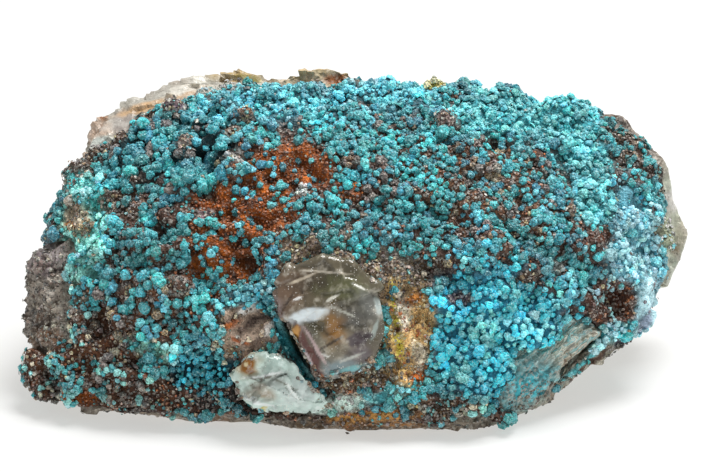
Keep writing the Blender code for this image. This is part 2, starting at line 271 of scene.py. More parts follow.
# %% Patches
OPEN = ("mixed", "grey", 0.82, 0.6)
PATCHES = {
    "upper left": (-22.8, 30.6, 9.0, 7.0, 0, "spotted", "teal", 0.92, 0.72),
    "middle left": (-25.6, 20.0, 7.4, 7.6, 0, "teal", "grey", 0.74, 0.66),
    "lower left": (-31.8, 7.6, 6.6, 5.6, 0, "chaotic", "chaotic", 0.56, 0.48),
    "grey lower left": (-24.4, 12.2, 5.4, 4.6, 0, "spotted", "spotted", 0.6, 0.6),
    "top band": (-3.0, 37.0, 14.0, 3.6, 0, "fine", "sky", 0.92, 0.42),
    "grey centre": (2.6, 28.8, 8.6, 6.0, 0, "spotted", "grey", 0.88, 0.54),
    "spotted right": (16.4, 25.0, 9.6, 6.4, -20, "spotted", "spotted", 0.8, 0.52),
    "bright lower right": (16.0, 8.8, 8.8, 7.6, 0, "bright", "blue", 1.3, 0.5),
    "top right fluff": (20.4, 34.8, 9.4, 3.2, -6, "fluff", "cyan", 0.94, 0.4),
    "fluffy knob": (27.0, 34.6, 2.6, 2.6, 0, "fluff", "cyan", 0.95, 0.38),
    "cyan shoulder": (27.6, 29.6, 3.6, 3.0, -40, "fluff", "cyan", 0.94, 0.46),
    "cyan slope": (28.8, 24.6, 2.4, 3.4, 0, "fluff", "cyan", 0.9, 0.52),
    "dark shoulder": (33.0, 31.6, 3.6, 2.6, -50, "teal", "brown", 0.36, 0.5),
    "pale right": (34.0, 20.0, 2.4, 6.8, 12, "pale", "pale", 0.6, 0.4),
    "pale slope": (32.6, 16.8, 3.0, 4.0, 0, "pale", "pale", 0.6, 0.42),
    "red right": (31.0, 12.4, 3.0, 2.6, 0, "pale", "red", 0.3, 0.46),
    "red spot": (29.0, 20.6, 1.6, 1.0, -20, "teal", "red", 0.16, 0.4),
    "rust hollow": (-15.8, 19.4, 4.0, 7.2, 0, "mixed", "rust", 0.24, 0.52),
    "rust above": (-8.0, 28.2, 5.8, 3.4, 8, "mixed", "rust", 0.2, 0.5),
    "rust middle": (-10.6, 23.6, 3.4, 4.8, 0, "mixed", "rust", 0.28, 0.52),
    "rust spot": (-0.6, 26.4, 1.6, 1.8, 0, "mixed", "rust", 0.4, 0.5),
    "streak": (18.0, 23.6, 5.0, 1.2, -18, "spotted", "spotted", 0.3, 0.46),
    "mint left": (-32.6, 21.6, 3.0, 6.6, 0, "mint", "mint", 0.86, 0.46),
    "cream left": (-33.2, 22.2, 1.6, 2.2, 20, "crusty", "tan", 0.3, 0.4),
    "grey left": (-28.8, 24.6, 3.0, 1.6, 10, "teal", "brown", 0.2, 0.46),
    "left edge": (-37.6, 20.4, 1.2, 3.4, 20, "pale", "flange", 0.3, 0.4),
    "upper left border": (-33.6, 29.4, 4.6, 1.9, 52, "teal", "brown", 0.1, 0.4),
    "ledge border": (-26.6, 34.6, 5.6, 1.4, 38, "teal", "brown", 0.12, 0.4),
    "far left foot": (-37.2, 3.8, 3.6, 5.0, 0, "chaotic", "chaotic", 0.42, 0.42),
    "left foot": (-31.8, 1.2, 6.0, 2.2, 0, "chaotic", "chaotic", 0.5, 0.42),
    "left crumbs": (-33.0, 0.8, 2.4, 1.2, 0, "mint", "rust", 0.3, 0.44),
    "middle foot": (-22.4, 1.6, 6.0, 2.2, 0, "chaotic", "chaotic", 0.36, 0.42),
    "blue shelf": (-23.0, 6.4, 4.6, 1.0, -18, "mint", "mint", 0.6, 0.42),
    "blue hollow": (-18.0, 4.6, 3.8, 2.6, 0, "hollow", "hollow", 0.8, 0.42),
    "hollow foot": (-16.0, 1.0, 3.4, 1.4, 0, "hollow", "dark", 0.4, 0.4),
    "glassy left": (-12.8, 9.4, 3.2, 2.7, 0, "crusty", "tan", 0.05, 0.36),
    "glassy foot": (-15.4, 7.4, 1.8, 1.6, 0, "crusty", "tan", 0.2, 0.4),
    "cyan brow": (-12.8, 13.2, 4.0, 1.2, 14, "fine", "sky", 0.8, 0.42),
    "ochre patch": (6.6, 8.6, 2.9, 6.4, 0, "crusty", "ochre", 0.06, 0.4),
    "ochre cap": (6.6, 15.8, 2.4, 1.8, 0, "crusty", "brown", 0.2, 0.4),
    "mint streak": (-1.2, 0.4, 3.6, 0.9, 10, "mint", "white", 0.08, 0.34),
    "teal streak": (4.8, 1.8, 5.0, 0.8, 16, "fluff", "cyan", 0.7, 0.36),
    "lower lobes": (12.6, -0.8, 4.2, 2.2, 0, "chaotic", "chaotic", 0.6, 0.46),
    "dark lobe": (10.2, -0.2, 1.6, 1.4, 0, "teal", "brown", 0.2, 0.44),
    "window seam": (-7.9, 7.4, 6.8, 0.8, -60, "hollow", "hollow", 0.6, 0.3),
    "window foot": (1.0, 3.6, 4.6, 1.3, 12, "crusty", "tan", 0.2, 0.34),
    "under the lip": (28.8, 4.2, 5.4, 2.3, 38, "spotted", "brown", 0.05, 0.4),
    "bare ledge": (-18.0, 39.4, 7.0, 1.9, 13, "fine", "white", 0.0, 0.4),
    "ledge end": (-10.6, 39.8, 2.0, 0.9, -12, "fine", "white", 0.0, 0.4),
    "bare point": (39.0, 20.8, 1.9, 5.6, 0, "fine", "white", 0.0, 0.4),
    "bare shoulder": (37.8, 28.4, 1.7, 3.0, 10, "teal", "brown", 0.0, 0.4),
    "cyan lip": (30.4, 8.4, 4.2, 1.2, 16, "pale", "cyan", 0.86, 0.4),
    "blue flange": (35.5, 11.0, 1.7, 5.6, -6, "pale", "flange", 0.04, 0.36),
    "weathered top": (-3.6, 40.2, 5.4, 1.0, 0, "fine", "tan", 0.2, 0.4),
    "yellow tip": (9.5, 39.2, 1.5, 0.9, 0, "yellow", "yellow", 0.8, 0.4),
    "sparkle left": (-14.2, 30.0, 1.0, 0.8, 0, "white", "white", 0.6, 0.32),
    "sparkle middle": (-6.4, 26.0, 1.0, 0.7, 0, "white", "white", 0.6, 0.32),
    "sparkle right": (24.0, 16.8, 0.9, 0.8, 0, "white", "white", 0.6, 0.32),
    "brown speck": (20.6, 15.4, 1.4, 0.9, 0, "spotted", "brown", 0.2, 0.4),
    "brown speck right": (10.0, 17.0, 1.2, 0.9, 0, "spotted", "brown", 0.2, 0.4),
    "brown speck low": (12.4, 13.0, 1.4, 0.8, 0, "spotted", "lilac", 0.1, 0.4),
}
PATCH_FRAY = 0.28
PATCH_FRAY_LENGTH = 2.6
print(len(PATCHES), "patches")

# %% [markdown]
# A few helpers read the lists. Smooth noise frays the ovals' edges, a mark's share runs from 1 inside its
# oval to 0 outside, and colours are painted over one another by such shares. Straight borders would need none
# of this, but nothing on a stone has one.

# %% Reading the patches
SOFT_EDGE = 6.0
FRAYED_EDGE = 9.0
SHARP_EDGE = 12.0


def waves(points, wavelength, offset=0.0):
    """Smooth noise from -1 to 1 at world points, in metres, for a wavelength in millimetres."""
    scale = 1.0 / (wavelength * MM)
    shift = Vector((offset, offset, offset))
    return np.array([noise.noise(Vector(point) * scale + shift) for point in points])


def reach_of(face, across, up, half_length, half_width, turn):
    """How far each place lies from an oval's middle, where 1 is its edge."""
    angle = math.radians(turn)
    offset = face[:, :2] - (across, up)
    along = offset @ (math.cos(angle), math.sin(angle))
    beside = offset @ (-math.sin(angle), math.cos(angle))
    return np.hypot(along / half_length, beside / half_width)


def inside(reach, sharpness):
    """1 inside an oval and 0 outside, with a soft edge."""
    return 1.0 / (1.0 + np.exp(np.clip((reach - 1.0) * sharpness, -30, 30)))


def within(face, mark, sharpness, fray=0.0):
    """1 inside the oval that a mark starts with and 0 outside, with its edge frayed."""
    return inside(reach_of(face, *mark[:5]) + fray, sharpness)


def shares_of(mix):
    """A mix of families as one share for each family, in their order."""
    return np.array([mix.get(name, 0.0) for name in FAMILY_NAMES])


def crust_mix(points):
    """At world points: each family's share of the balls and of the ground, the fill and the ball radius."""
    face = to_face(points)
    fray = PATCH_FRAY * waves(points, PATCH_FRAY_LENGTH)

    def row(balls, ground, fill, radius):
        return np.concatenate((shares_of(BALL_MIXES[balls]), shares_of(GROUND_MIXES[ground]), (fill, radius)))

    values = np.tile(row(*OPEN), (len(points), 1))
    for *oval, balls, ground, fill, radius in PATCHES.values():
        share = within(face, oval, SHARP_EDGE, fray)[:, None]
        values = values * (1 - share) + row(balls, ground, fill, radius) * share
    count = len(FAMILY_NAMES)
    return values[:, :count], values[:, count : 2 * count], values[:, -2], values[:, -1]


def painted(values, face, marks, fray=0.0, sharpness=FRAYED_EDGE):
    """Paints ovals, in order, over rows of red, green, blue and a fourth value for places on the face."""
    for *oval, colour, fourth in marks.values():
        share = within(face, oval, sharpness, fray)[:, None]
        values = values * (1 - share) + np.append(linear(colour), fourth) * share
    return values


def plain(colour, fourth, count):
    """Rows of one colour and a fourth value, to paint over."""
    return np.tile(np.append(linear(colour), fourth), (count, 1))


WOBBLE_SHIFTS = (0.0, 31.4, 57.9)


def wobble(place):
    """Smooth noise in three directions; noise.noise_vector would differ from run to run."""
    return Vector([noise.noise(place + Vector((shift, shift, shift))) for shift in WOBBLE_SHIFTS])


def facets(points, size, offset=0.0, warp=0.0):
    """Broken faces: cells that each lean their own way, with borders bent by the warp.

    Gives heights in cell sizes, and nearness to a border."""
    heights = np.empty(len(points))
    borders = np.empty(len(points))
    shift = Vector((offset, offset, offset))
    for number, point in enumerate(points):
        place = Vector(point) / (size * MM) + shift
        place += warp * wobble(place * 1.7)
        distances, middles = noise.voronoi(place)
        lean = noise.cell_vector(middles[0]) * 2.0 - Vector((1.0, 1.0, 1.0))
        heights[number] = (place - middles[0]).dot(lean)
        borders[number] = distances[1] - distances[0]
    return heights, borders


print("the middle of the face mixes", crust_mix(to_world([(0, 18, 14)]))[0].round(2))

# %% [markdown]
# ## Growing a finer skin
#
# The solid's triangles are too large to carry grains. A copy of each solid is merged and remeshed to small
# even squares, and its points are then pushed in and out. Subdividing the solid itself would keep its long
# thin triangles, and the grains would follow them.

# %% Fine copies of the solids
MERGE_DISTANCE = 1e-7


def finish_piece(name, mesh, look, smooth=True):
    """Links a mesh as a finished piece that rides on the stone."""
    mesh.polygons.foreach_set("use_smooth", [smooth] * len(mesh.polygons))
    mesh.materials.clear()
    mesh.materials.append(look)
    piece = linked(name, mesh)
    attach(piece, "root")
    print(name, len(mesh.polygons), "faces")
    return piece


def solid_bmesh(node):
    """A solid's own mesh as a bmesh, to be freed after use."""
    bm = bmesh.new()
    bm.from_mesh(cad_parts[node].data)
    return bm


def solid_tree(node):
    """A search tree of a solid's triangles."""
    bm = solid_bmesh(node)
    tree = BVHTree.FromBMesh(bm)
    bm.free()
    return tree


def points_of(mesh):
    """The points of a mesh and the directions that they face."""
    points = np.empty(len(mesh.vertices) * 3)
    mesh.vertices.foreach_get("co", points)
    facing = np.empty(len(mesh.vertices) * 3)
    mesh.vertices.foreach_get("normal", facing)
    return points.reshape(-1, 3), facing.reshape(-1, 3)


def evaluated(holder, kind, **settings):
    """The mesh that a modifier makes of an object; the object is then removed."""
    modifier = holder.modifiers.new(kind, kind)
    for name, value in settings.items():
        setattr(modifier, name, value)
    bpy.context.view_layer.update()
    made = bpy.data.meshes.new_from_object(holder.evaluated_get(bpy.context.evaluated_depsgraph_get()))
    bpy.data.objects.remove(holder, do_unlink=True)
    return made


def fine_copy(node, size, cover=None, reach=0.0, kept_share=1.0):
    """A solid's mesh remeshed to even squares (mm), coarser where a covering solid lies within reach (mm)."""
    bm = solid_bmesh(node)
    bmesh.ops.remove_doubles(bm, verts=bm.verts, dist=MERGE_DISTANCE)
    mesh = bpy.data.meshes.new("fine_" + node)
    bm.to_mesh(mesh)
    bm.free()
    even = evaluated(linked("fine_" + node, mesh), "REMESH", mode="VOXEL", voxel_size=size * MM)
    if cover is None:
        return even
    tree = solid_tree(cover)
    hidden = [
        number
        for number, (point, facing) in enumerate(zip(*points_of(even)))
        if tree.ray_cast(Vector(point), Vector(facing), reach * MM)[0] is not None
    ]
    holder = linked("thinned_" + node, even)
    group = holder.vertex_groups.new(name="hidden")
    group.add(hidden, 1.0, "REPLACE")
    return evaluated(holder, "DECIMATE", ratio=kept_share, vertex_group=group.name, vertex_group_factor=1.0)


def tint(mesh, colours, speckle):
    """Gives each point of a mesh its own colour, with how speckled it is as its alpha."""
    layer = mesh.color_attributes.new("tint", "FLOAT_COLOR", "POINT")
    layer.data.foreach_set("color", np.c_[colours, np.broadcast_to(speckle, len(colours))].ravel())


CRUST_GRAIN = 0.42
CRUST_HIDDEN_REACH = 0.5
CRUST_KEPT_SHARE = 0.66
crust_thinning = ("quartz_matrix", CRUST_HIDDEN_REACH, CRUST_KEPT_SHARE)
crust_mesh = fine_copy("chrysocolla_crust", CRUST_GRAIN, *crust_thinning)
crust_points, crust_facing = points_of(crust_mesh)
ball_shares, ground_shares, crust_fill, crust_size = crust_mix(crust_points)
print("crust skin:", len(crust_points), "points")

# %% [markdown]
# ## The ground of the crust
#
# The balls don't stand evenly. They crowd into clusters a few millimetres wide, each a low dome with a tone
# of its own. Middles for the clusters are drawn at random at a distance from one another, and every point of
# the skin belongs to the nearest. A Voronoi texture would do nearly the same, but the balls need to know
# their cluster too.

# %% Clusters
CHANCE_SEED = 7
CLUSTER_SPACING = 1.9
CLUSTER_RADIUS = 1.4
CLUSTER_HEIGHTS = (0.6, 1.25)
CLUSTER_TONES = (0.6, 1.34)
chooser = np.random.default_rng(CHANCE_SEED)


def take_places(candidates, points, spacing, taken=None):
    """Indices of the candidates kept in order, each farther than its spacing (mm) from those kept before."""
    cell = max(spacing) * MM
    grid = {} if taken is None else taken
    kept = []
    for index in candidates:
        x, y, z = points[index]
        key = (int(x // cell), int(y // cell), int(z // cell))
        reach = spacing[index] * MM
        near = (
            other
            for i in (-1, 0, 1)
            for j in (-1, 0, 1)
            for k in (-1, 0, 1)
            for other in grid.get((key[0] + i, key[1] + j, key[2] + k), ())
        )
        if any((x - a) ** 2 + (y - b) ** 2 + (z - c) ** 2 < reach * reach for a, b, c in near):
            continue
        grid.setdefault(key, []).append((x, y, z))
        kept.append(index)
    return np.array(kept)


cluster_spacing = np.full(len(crust_points), CLUSTER_SPACING)
seeds = take_places(chooser.permutation(len(crust_points)), crust_points, cluster_spacing)
cluster_finder = KDTree(len(seeds))
for number, seed in enumerate(seeds):
    cluster_finder.insert(Vector(crust_points[seed]), number)
cluster_finder.balance()
nearest = [cluster_finder.find(Vector(point)) for point in crust_points]
cluster = np.array([number for _place, number, _distance in nearest])
from_middle = np.array([distance for _place, _number, distance in nearest]) / MM
cluster_height = chooser.uniform(*CLUSTER_HEIGHTS, len(seeds))[cluster]
cluster_tone = chooser.uniform(*CLUSTER_TONES, len(seeds))
cluster_chance = chooser.random(len(seeds))
dome = np.sqrt(np.clip(1.0 - (from_middle / CLUSTER_RADIUS) ** 2, 0.0, 1.0)) * cluster_height
print(len(seeds), "clusters")

# %% [markdown]
# Some places stand out or lie deep: dark pits between the lobes, small brown peaks of bare druse, and crags
# where broken quartz shows through the crust. They are ovals on the face again. A pit ends with its depth, a
# peak with its height and colour, a crag with the size of its broken faces and their height. The marks after
# them are colour alone. Sculpting by hand would give them too, but no one could then read or change them.

# %% Peaks, pits and crags
PITS = {
    "upper pit": (-17.8, 27.6, 1.5, 2.6, 0, 1.5),
    "rust pit": (-19.4, 17.4, 1.4, 1.6, 0, 1.5),
    "lower rust pit": (-13.4, 19.6, 1.6, 1.2, 0, 1.2),
    "rust hollow": (-8.6, 27.2, 2.2, 1.2, 0, 1.0),
    "left pit": (-30.6, 9.6, 1.5, 1.3, 0, 1.5),
    "small left pit": (-23.4, 9.8, 0.9, 0.9, 0, 1.2),
    "right pit": (16.8, 8.2, 0.9, 1.6, 0, 1.2),
    "under the ledge": (-22.8, 20.8, 1.3, 1.0, 0, 1.0),
    "centre pit": (-12.6, 17.0, 2.0, 1.0, 0, 1.2),
    "blue hollow": (-18.2, 4.6, 3.6, 2.0, 0, 1.3),
    "foot pit": (-27.0, 5.4, 2.0, 0.8, 0, 1.2),
    "seam": (-7.7, 7.4, 0.6, 6.6, 30, 0.7),
    "under the lip": (29.4, 3.6, 5.0, 2.2, 38, 1.1),
    "left foot": (-27.4, -1.8, 3.6, 1.3, 0, 1.4),
    "right shoulder": (37.8, 28.4, 1.6, 2.8, 10, 1.4),
}
PEAKS = {
    "lilac peak": (-22.2, 36.0, 1.6, 1.0, 0, 0.7, (132, 112, 122)),
    "tan peak": (-13.2, 35.4, 1.6, 0.9, -50, 0.8, (150, 116, 92)),
    "mauve peak": (-17.8, 22.8, 1.3, 0.8, 0, 0.7, (134, 108, 114)),
    "small tan peak": (-14.8, 33.0, 1.2, 0.8, 0, 0.5, (138, 112, 92)),
    "grey cone": (0.6, 36.0, 0.9, 1.5, 0, 0.7, (126, 112, 112)),
    "right cone": (10.8, 34.2, 1.2, 1.6, 0, 0.6, (134, 116, 112)),
    "tan flake": (26.0, 23.8, 0.9, 1.1, 0, 0.5, (176, 148, 116)),
    "left flake": (-20.4, 31.6, 0.9, 0.7, 0, 0.5, (120, 100, 90)),
    "brown lump": (-26.6, 27.2, 1.0, 0.8, 0, 0.4, (96, 72, 62)),
    "white lump": (-14.2, 30.0, 1.0, 0.8, 0, 0.5, (206, 200, 196)),
    "low lump": (-21.2, 14.4, 1.4, 1.2, 0, 0.5, (110, 84, 70)),
    "lower lump": (-27.6, 13.2, 1.2, 1.0, 0, 0.5, (126, 96, 82)),
}
CRAGS = {
    "glassy left": (-12.8, 9.2, 3.6, 2.9, 10, 2.2, 1.1),
    "ochre patch": (6.4, 8.6, 2.9, 6.6, 0, 1.3, 1.0),
    "left shoulder": (-33.0, 22.0, 3.4, 5.4, 10, 1.2, 0.7),
    "bare ledge": (-18.0, 39.4, 7.0, 1.9, 13, 3.0, 0.5),
    "window foot": (1.0, 3.6, 4.6, 1.3, 12, 1.0, 0.6),
    "rim of the window": (9.6, 17.0, 2.4, 2.0, 0, 1.0, 0.6),
}
GROUND_MARKS = {
    "glassy body": (-12.8, 9.2, 3.6, 2.8, 10, (190, 168, 150), 0.2),
    "glassy shadow": (-14.0, 10.6, 2.0, 0.5, 34, (84, 72, 64), 0.2),
    "glassy stripe": (-11.8, 10.4, 2.2, 0.4, 38, (98, 82, 74), 0.2),
    "glassy glint": (-12.6, 11.6, 1.6, 0.5, 30, (244, 242, 238), 0.0),
    "glassy glint low": (-10.6, 8.8, 1.2, 0.5, 60, (238, 232, 226), 0.0),
    "glassy pane": (-11.2, 7.6, 1.5, 0.9, 0, (140, 118, 104), 0.0),
    "orange vein": (-15.0, 9.6, 1.6, 0.4, 20, (190, 108, 56), 0.3),
    "orange vein low": (-13.6, 8.0, 1.2, 0.3, -20, (176, 96, 50), 0.3),
    "ochre body": (6.1, 8.6, 3.2, 6.6, 0, (248, 206, 140), 0.25),
    "ochre crust": (5.6, 11.6, 1.0, 2.4, 0, (255, 250, 234), 0.2),
    "ochre crust low": (7.6, 6.4, 0.9, 2.0, 20, (250, 238, 212), 0.2),
    "yellow vein": (4.9, 9.6, 0.45, 4.6, 6, (240, 228, 96), 0.2),
    "orange spot": (7.8, 3.6, 1.1, 0.9, 0, (196, 104, 44), 0.5),
    "orange band": (6.8, 12.8, 1.2, 0.8, 30, (206, 132, 60), 0.5),
    "brown spot": (4.9, 9.2, 0.6, 0.6, 0, (96, 58, 34), 0.5),
    "bare point": (38.4, 20.8, 1.4, 5.0, 0, (168, 174, 146), 0.2),
    "bare ledge": (-18.0, 39.4, 7.0, 1.8, 13, (208, 200, 186), 0.1),
    "bare ledge band": (-19.6, 38.4, 5.0, 0.5, 14, (188, 204, 200), 0.1),
    "bare ledge tan": (-13.6, 40.2, 2.6, 0.8, 0, (196, 160, 96), 0.2),
    "bare ledge lilac": (-12.8, 41.0, 2.0, 0.4, -6, (170, 160, 160), 0.1),
    "seam edge": (-7.4, 7.8, 0.2, 6.4, 30, (150, 214, 218), 0.2),
    "mint left": (-32.6, 19.8, 2.6, 5.4, 4, (150, 230, 218), 0.2),
    "turquoise left": (-33.6, 26.2, 2.0, 2.2, 0, (96, 204, 204), 0.2),
    "cream left": (-33.4, 22.4, 1.4, 1.8, 20, (216, 204, 178), 0.6),
    "orange crumbs": (-34.4, 21.6, 0.7, 0.5, 0, (190, 120, 50), 0.6),
    "seam": (-7.9, 7.4, 0.7, 6.8, 30, (34, 132, 142), 0.1),
    "orange foot": (2.4, -1.2, 5.6, 0.7, 4, (214, 156, 84), 0.4),
    "mint foot": (-1.6, 0.4, 3.4, 0.9, 10, (214, 236, 226), 0.1),
    "brown foot": (3.8, -2.0, 3.8, 0.8, 0, (96, 74, 56), 0.6),
    "torn end": (28.6, 4.2, 5.0, 2.4, 38, (166, 160, 142), 0.3),
    "torn end teal": (26.8, 4.6, 3.6, 0.5, 40, (78, 166, 172), 0.2),
    "torn end brown": (28.8, 5.2, 3.0, 0.6, 38, (88, 62, 46), 0.4),
    "torn end pale": (27.4, 2.8, 3.6, 0.4, 40, (206, 200, 184), 0.2),
    "blue flange": (35.6, 11.0, 1.6, 5.4, -4, (196, 236, 244), 0.05),
    "flange shade": (35.0, 9.4, 0.5, 2.8, -20, (150, 164, 184), 0.05),
    "flange foot": (33.6, 7.2, 2.4, 0.6, 12, (158, 166, 182), 0.05),
}
print(len(PITS), "pits,", len(PEAKS), "peaks,", len(CRAGS), "crags")

# %% [markdown]
# The ground between the balls is a rough skin of minute grains that swells and sinks by a millimetre or two.
# The copy is drawn a little under the solid's surface, to leave room for the balls that stand on it. Then it
# is pushed out by swells, clusters, peaks and crags, in by pits, and roughened by fine noise. Its hidden
# inner side stays where it is. A displacement in the material would be lighter, but the balls have to know
# where the ground ends up.

# %% The ground of the crust
SUNK = 0.5
DEEPEST = -2.0
PEAK_DEPTH = 1.8
HIGHEST = 0.7
SWELL_LENGTH = 4.6
SWELL = 0.95
CLUSTER_RISE = 0.9
STONE_MIDDLE = to_world((0.0, 17.5, -8.0))
outward = crust_points - STONE_MIDDLE
outward /= np.linalg.norm(outward, axis=1, keepdims=True)
outside = np.clip(((crust_facing * outward).sum(axis=1) + 0.1) / 0.6, 0, 1)
crust_face = to_face(crust_points)
fray = 0.3 * waves(crust_points, 1.6, 11.0)
pit = np.zeros(len(crust_points))
for *oval, depth in PITS.values():
    pit = np.maximum(pit, depth * within(crust_face, oval, SOFT_EDGE, fray))
peak = np.zeros(len(crust_points))
on_peak = np.zeros(len(crust_points))
peak_reach = {}
for name, (*oval, height, _colour) in PEAKS.items():
    seen = reach_of(crust_face, *oval)
    middle = crust_face[np.argmin(seen - 0.02 * crust_face[:, 2]), 2]
    reach = np.hypot(seen, (crust_face[:, 2] - middle) / PEAK_DEPTH) + 0.6 * fray
    peak_reach[name] = reach
    peak = np.maximum(peak, height * np.sqrt(np.clip(1.0 - reach**2, 0.0, 1.0)))
    on_peak = np.maximum(on_peak, inside(reach, SHARP_EDGE))
crag = np.zeros(len(crust_points))
on_crag = np.zeros(len(crust_points))
for *oval, cell, height in CRAGS.values():
    share = within(crust_face, oval, 8.0, fray)
    near = np.flatnonzero(share > 0.02)
    crag[near] += height * facets(crust_points[near], cell)[0] * share[near]
    on_crag = np.maximum(on_crag, share)
swell = SWELL * waves(crust_points, SWELL_LENGTH) + CLUSTER_RISE * (dome - 0.5) * (1 - on_crag)
relief = np.clip(swell - SUNK - pit + crag, DEEPEST, HIGHEST) + peak
iron = ground_shares[:, FAMILY_NAMES.index("rust")]
roughness = (0.2 + 0.2 * iron) * waves(crust_points, 1.3)
roughness += (0.12 + 0.14 * iron) * waves(crust_points, 0.7, 7.0)
ground_points = crust_points + crust_facing * ((roughness + relief) * outside * MM)[:, None]
crust_mesh.vertices.foreach_set("co", ground_points.ravel())
crust_mesh.update()
ground_points, ground_facing = points_of(crust_mesh)
print("relief, mm:", relief.min().round(2), "to", relief.max().round(2))

# %% [markdown]
# The ground takes its colour from its patch, deep places are painted darker and high places lighter, as
# shade and light, and grains of noise mottle it. Round the clear window the druse is brown with a pale
# fringe, so the distance to the smoky crystal decides there.

# %% Colours of the ground
WINDOW_RIM = 4.5
WINDOW_FRINGE = 0.9
WINDOW_MIDDLE = (0.0, 8.0)
WINDOW_SEARCH = 20.0
WINDOW_REACH = 6.0
FAR_FROM_WINDOW = 9.0
RIM_COLOUR = (176, 152, 128)
FRINGE_COLOUR = (176, 216, 214)
PEAK_FOOT_COLOUR = (190, 206, 204)
BRIGHTER_MARKS = ("ochre body", "glassy body", "mint foot", "blue flange", "torn end")
smoky_tree = solid_tree("smoky_quartz")
window_gap = np.full(len(crust_points), FAR_FROM_WINDOW)
from_window = np.hypot(crust_face[:, 0] - WINDOW_MIDDLE[0], crust_face[:, 1] - WINDOW_MIDDLE[1])
for number in np.flatnonzero(from_window < WINDOW_SEARCH):
    distance = smoky_tree.find_nearest(Vector(crust_points[number]), WINDOW_REACH * MM)[3]
    if distance is not None:
        window_gap[number] = distance / MM
above_window = (crust_face[:, 1] + 0.6 * crust_face[:, 0] > 8) * (crust_face[:, 0] > -9)
above_window = above_window * (1 - within(crust_face, GROUND_MARKS["ochre body"], 8.0))
frayed_gap = window_gap + 2.4 * fray
rim = inside(frayed_gap / WINDOW_RIM, SOFT_EDGE) * above_window
fringe = inside(frayed_gap / (WINDOW_RIM + WINDOW_FRINGE), SOFT_EDGE) * above_window - rim
mottle = 1.0 + (0.4 + 0.6 * iron) * waves(crust_points, 0.9, 3.0) + 0.9 * iron * waves(crust_points, 2.2, 6.0)
mottle = np.clip(mottle, 0.12, 2.0)
# Painted shade and light: deep places are painted up to four fifths darker, high places a quarter lighter.
shade = np.clip(1.0 + 0.5 * (relief + SUNK), 0.2, 1.25)
ground = np.c_[ground_shares @ SHADED_GROUND, ground_shares @ SPECKLE]
ground = ground * (1 - rim[:, None]) + plain(RIM_COLOUR, 0.8, 1) * rim[:, None]
ground = ground * (1 - fringe[:, None] * 0.7) + plain(FRINGE_COLOUR, 0.4, 1) * fringe[:, None] * 0.7
ground = painted(ground, crust_face, GROUND_MARKS, fray)
for name, reach in peak_reach.items():
    edge = np.clip(1.0 - np.abs(reach - 0.95) / 0.2, 0, 1)[:, None]
    share = inside(reach, SHARP_EDGE)[:, None]
    ground = ground * (1 - share) + plain(PEAKS[name][-1], 0.9, 1) * share
    ground = ground * (1 - 0.6 * edge) + plain(PEAK_FOOT_COLOUR, 0.7, 1) * 0.6 * edge
# Painted shade: the ground low at the left is painted darker; the brighter marks are painted lighter.
bright = 0.85 - 0.25 * np.clip((6.0 - crust_face[:, 1]) / 3.0, 0, 1) * (crust_face[:, 0] < -14)
for name in BRIGHTER_MARKS:
    bright += 0.35 * within(crust_face, GROUND_MARKS[name], FRAYED_EDGE, fray)
tint(crust_mesh, ground[:, :3] * (bright * mottle * shade)[:, None], ground[:, 3])
bare = np.maximum(on_peak, rim * 0.85)
print("points on the rim of the window:", int((rim > 0.5).sum()))

# %% [markdown]
# ## The druse material
#
# Every ball wears a skin of minute quartz crystals, so it glitters; its top is painted paler, as frost and as
# a painted highlight, and its hollows are saturated. The colour comes with each point as an attribute,
# because each ball has its own. Cells of a Voronoi texture stand for the crystals: they lighten the colour
# here and there and tilt the surface. An image texture could do the same but would need a map laid round
# thousands of balls.

# %% Helpers for materials
BROWN_GRAIN = (84, 62, 54)
CREAM_FLECK = (210, 202, 192)


def value_texture(tree, kind, scale, detail=2.0):
    """A noise or Voronoi texture on the piece's own coordinates; the scale is in cells per millimetre."""
    place = tree.nodes.get("place") or tree.nodes.new("ShaderNodeTexCoord")
    place.name = "place"
    texture = tree.nodes.new("ShaderNodeTexNoise" if kind == "noise" else "ShaderNodeTexVoronoi")
    texture.inputs["Scale"].default_value = scale / MM
    texture.inputs["Detail"].default_value = detail if kind == "noise" else 0.0
    tree.links.new(place.outputs["Object"], texture.inputs["Vector"])
    return texture


def spread(tree, source, low, high, start=0.0, end=1.0):
    """Maps a value that runs from start to end onto low to high."""
    node = tree.nodes.new("ShaderNodeMapRange")
    for name, value in (("From Min", start), ("From Max", end), ("To Min", low), ("To Max", high)):
        node.inputs[name].default_value = value
    tree.links.new(source, node.inputs["Value"])
    return node.outputs["Result"]


def blend_colour(tree, share, first, second, way="MIX"):
    """Mixes two colours, each a socket or a fixed colour, by a share that is a socket or a number."""
    node = tree.nodes.new("ShaderNodeMix")
    node.data_type = "RGBA"
    node.blend_type = way
    for name, value in ((0, share), (6, first), (7, second)):
        if isinstance(value, bpy.types.NodeSocket):
            tree.links.new(value, node.inputs[name])
        elif name == 0:
            node.inputs[name].default_value = value
        else:
            node.inputs[name].default_value = (*linear(value), 1.0)
    return node.outputs[2]


def bump(tree, shader, height, depth, strength=1.0):
    """Tilts the surface by a height texture; the depth is in millimetres."""
    node = tree.nodes.new("ShaderNodeBump")
    node.inputs["Strength"].default_value = strength
    node.inputs["Distance"].default_value = depth * MM
    tree.links.new(height, node.inputs["Height"])
    tree.links.new(node.outputs["Normal"], shader.inputs["Normal"])


def times(tree, first, second):
    """Two value sockets multiplied."""
    node = tree.nodes.new("ShaderNodeMath")
    node.operation = "MULTIPLY"
    tree.links.new(first, node.inputs[0])
    tree.links.new(second, node.inputs[1])
    return node.outputs["Value"]


def point_value(tree, name):
    """The node that reads what each point of the mesh carries under a name."""
    attribute = tree.nodes.new("ShaderNodeAttribute")
    attribute.attribute_name = name
    return attribute.outputs


def chances(tree, cells):
    """Three chances from 0 to 1 that a Voronoi texture draws for each of its cells."""
    chance = tree.nodes.new("ShaderNodeSeparateColor")
    tree.links.new(cells.outputs["Color"], chance.inputs["Color"])
    return chance.outputs


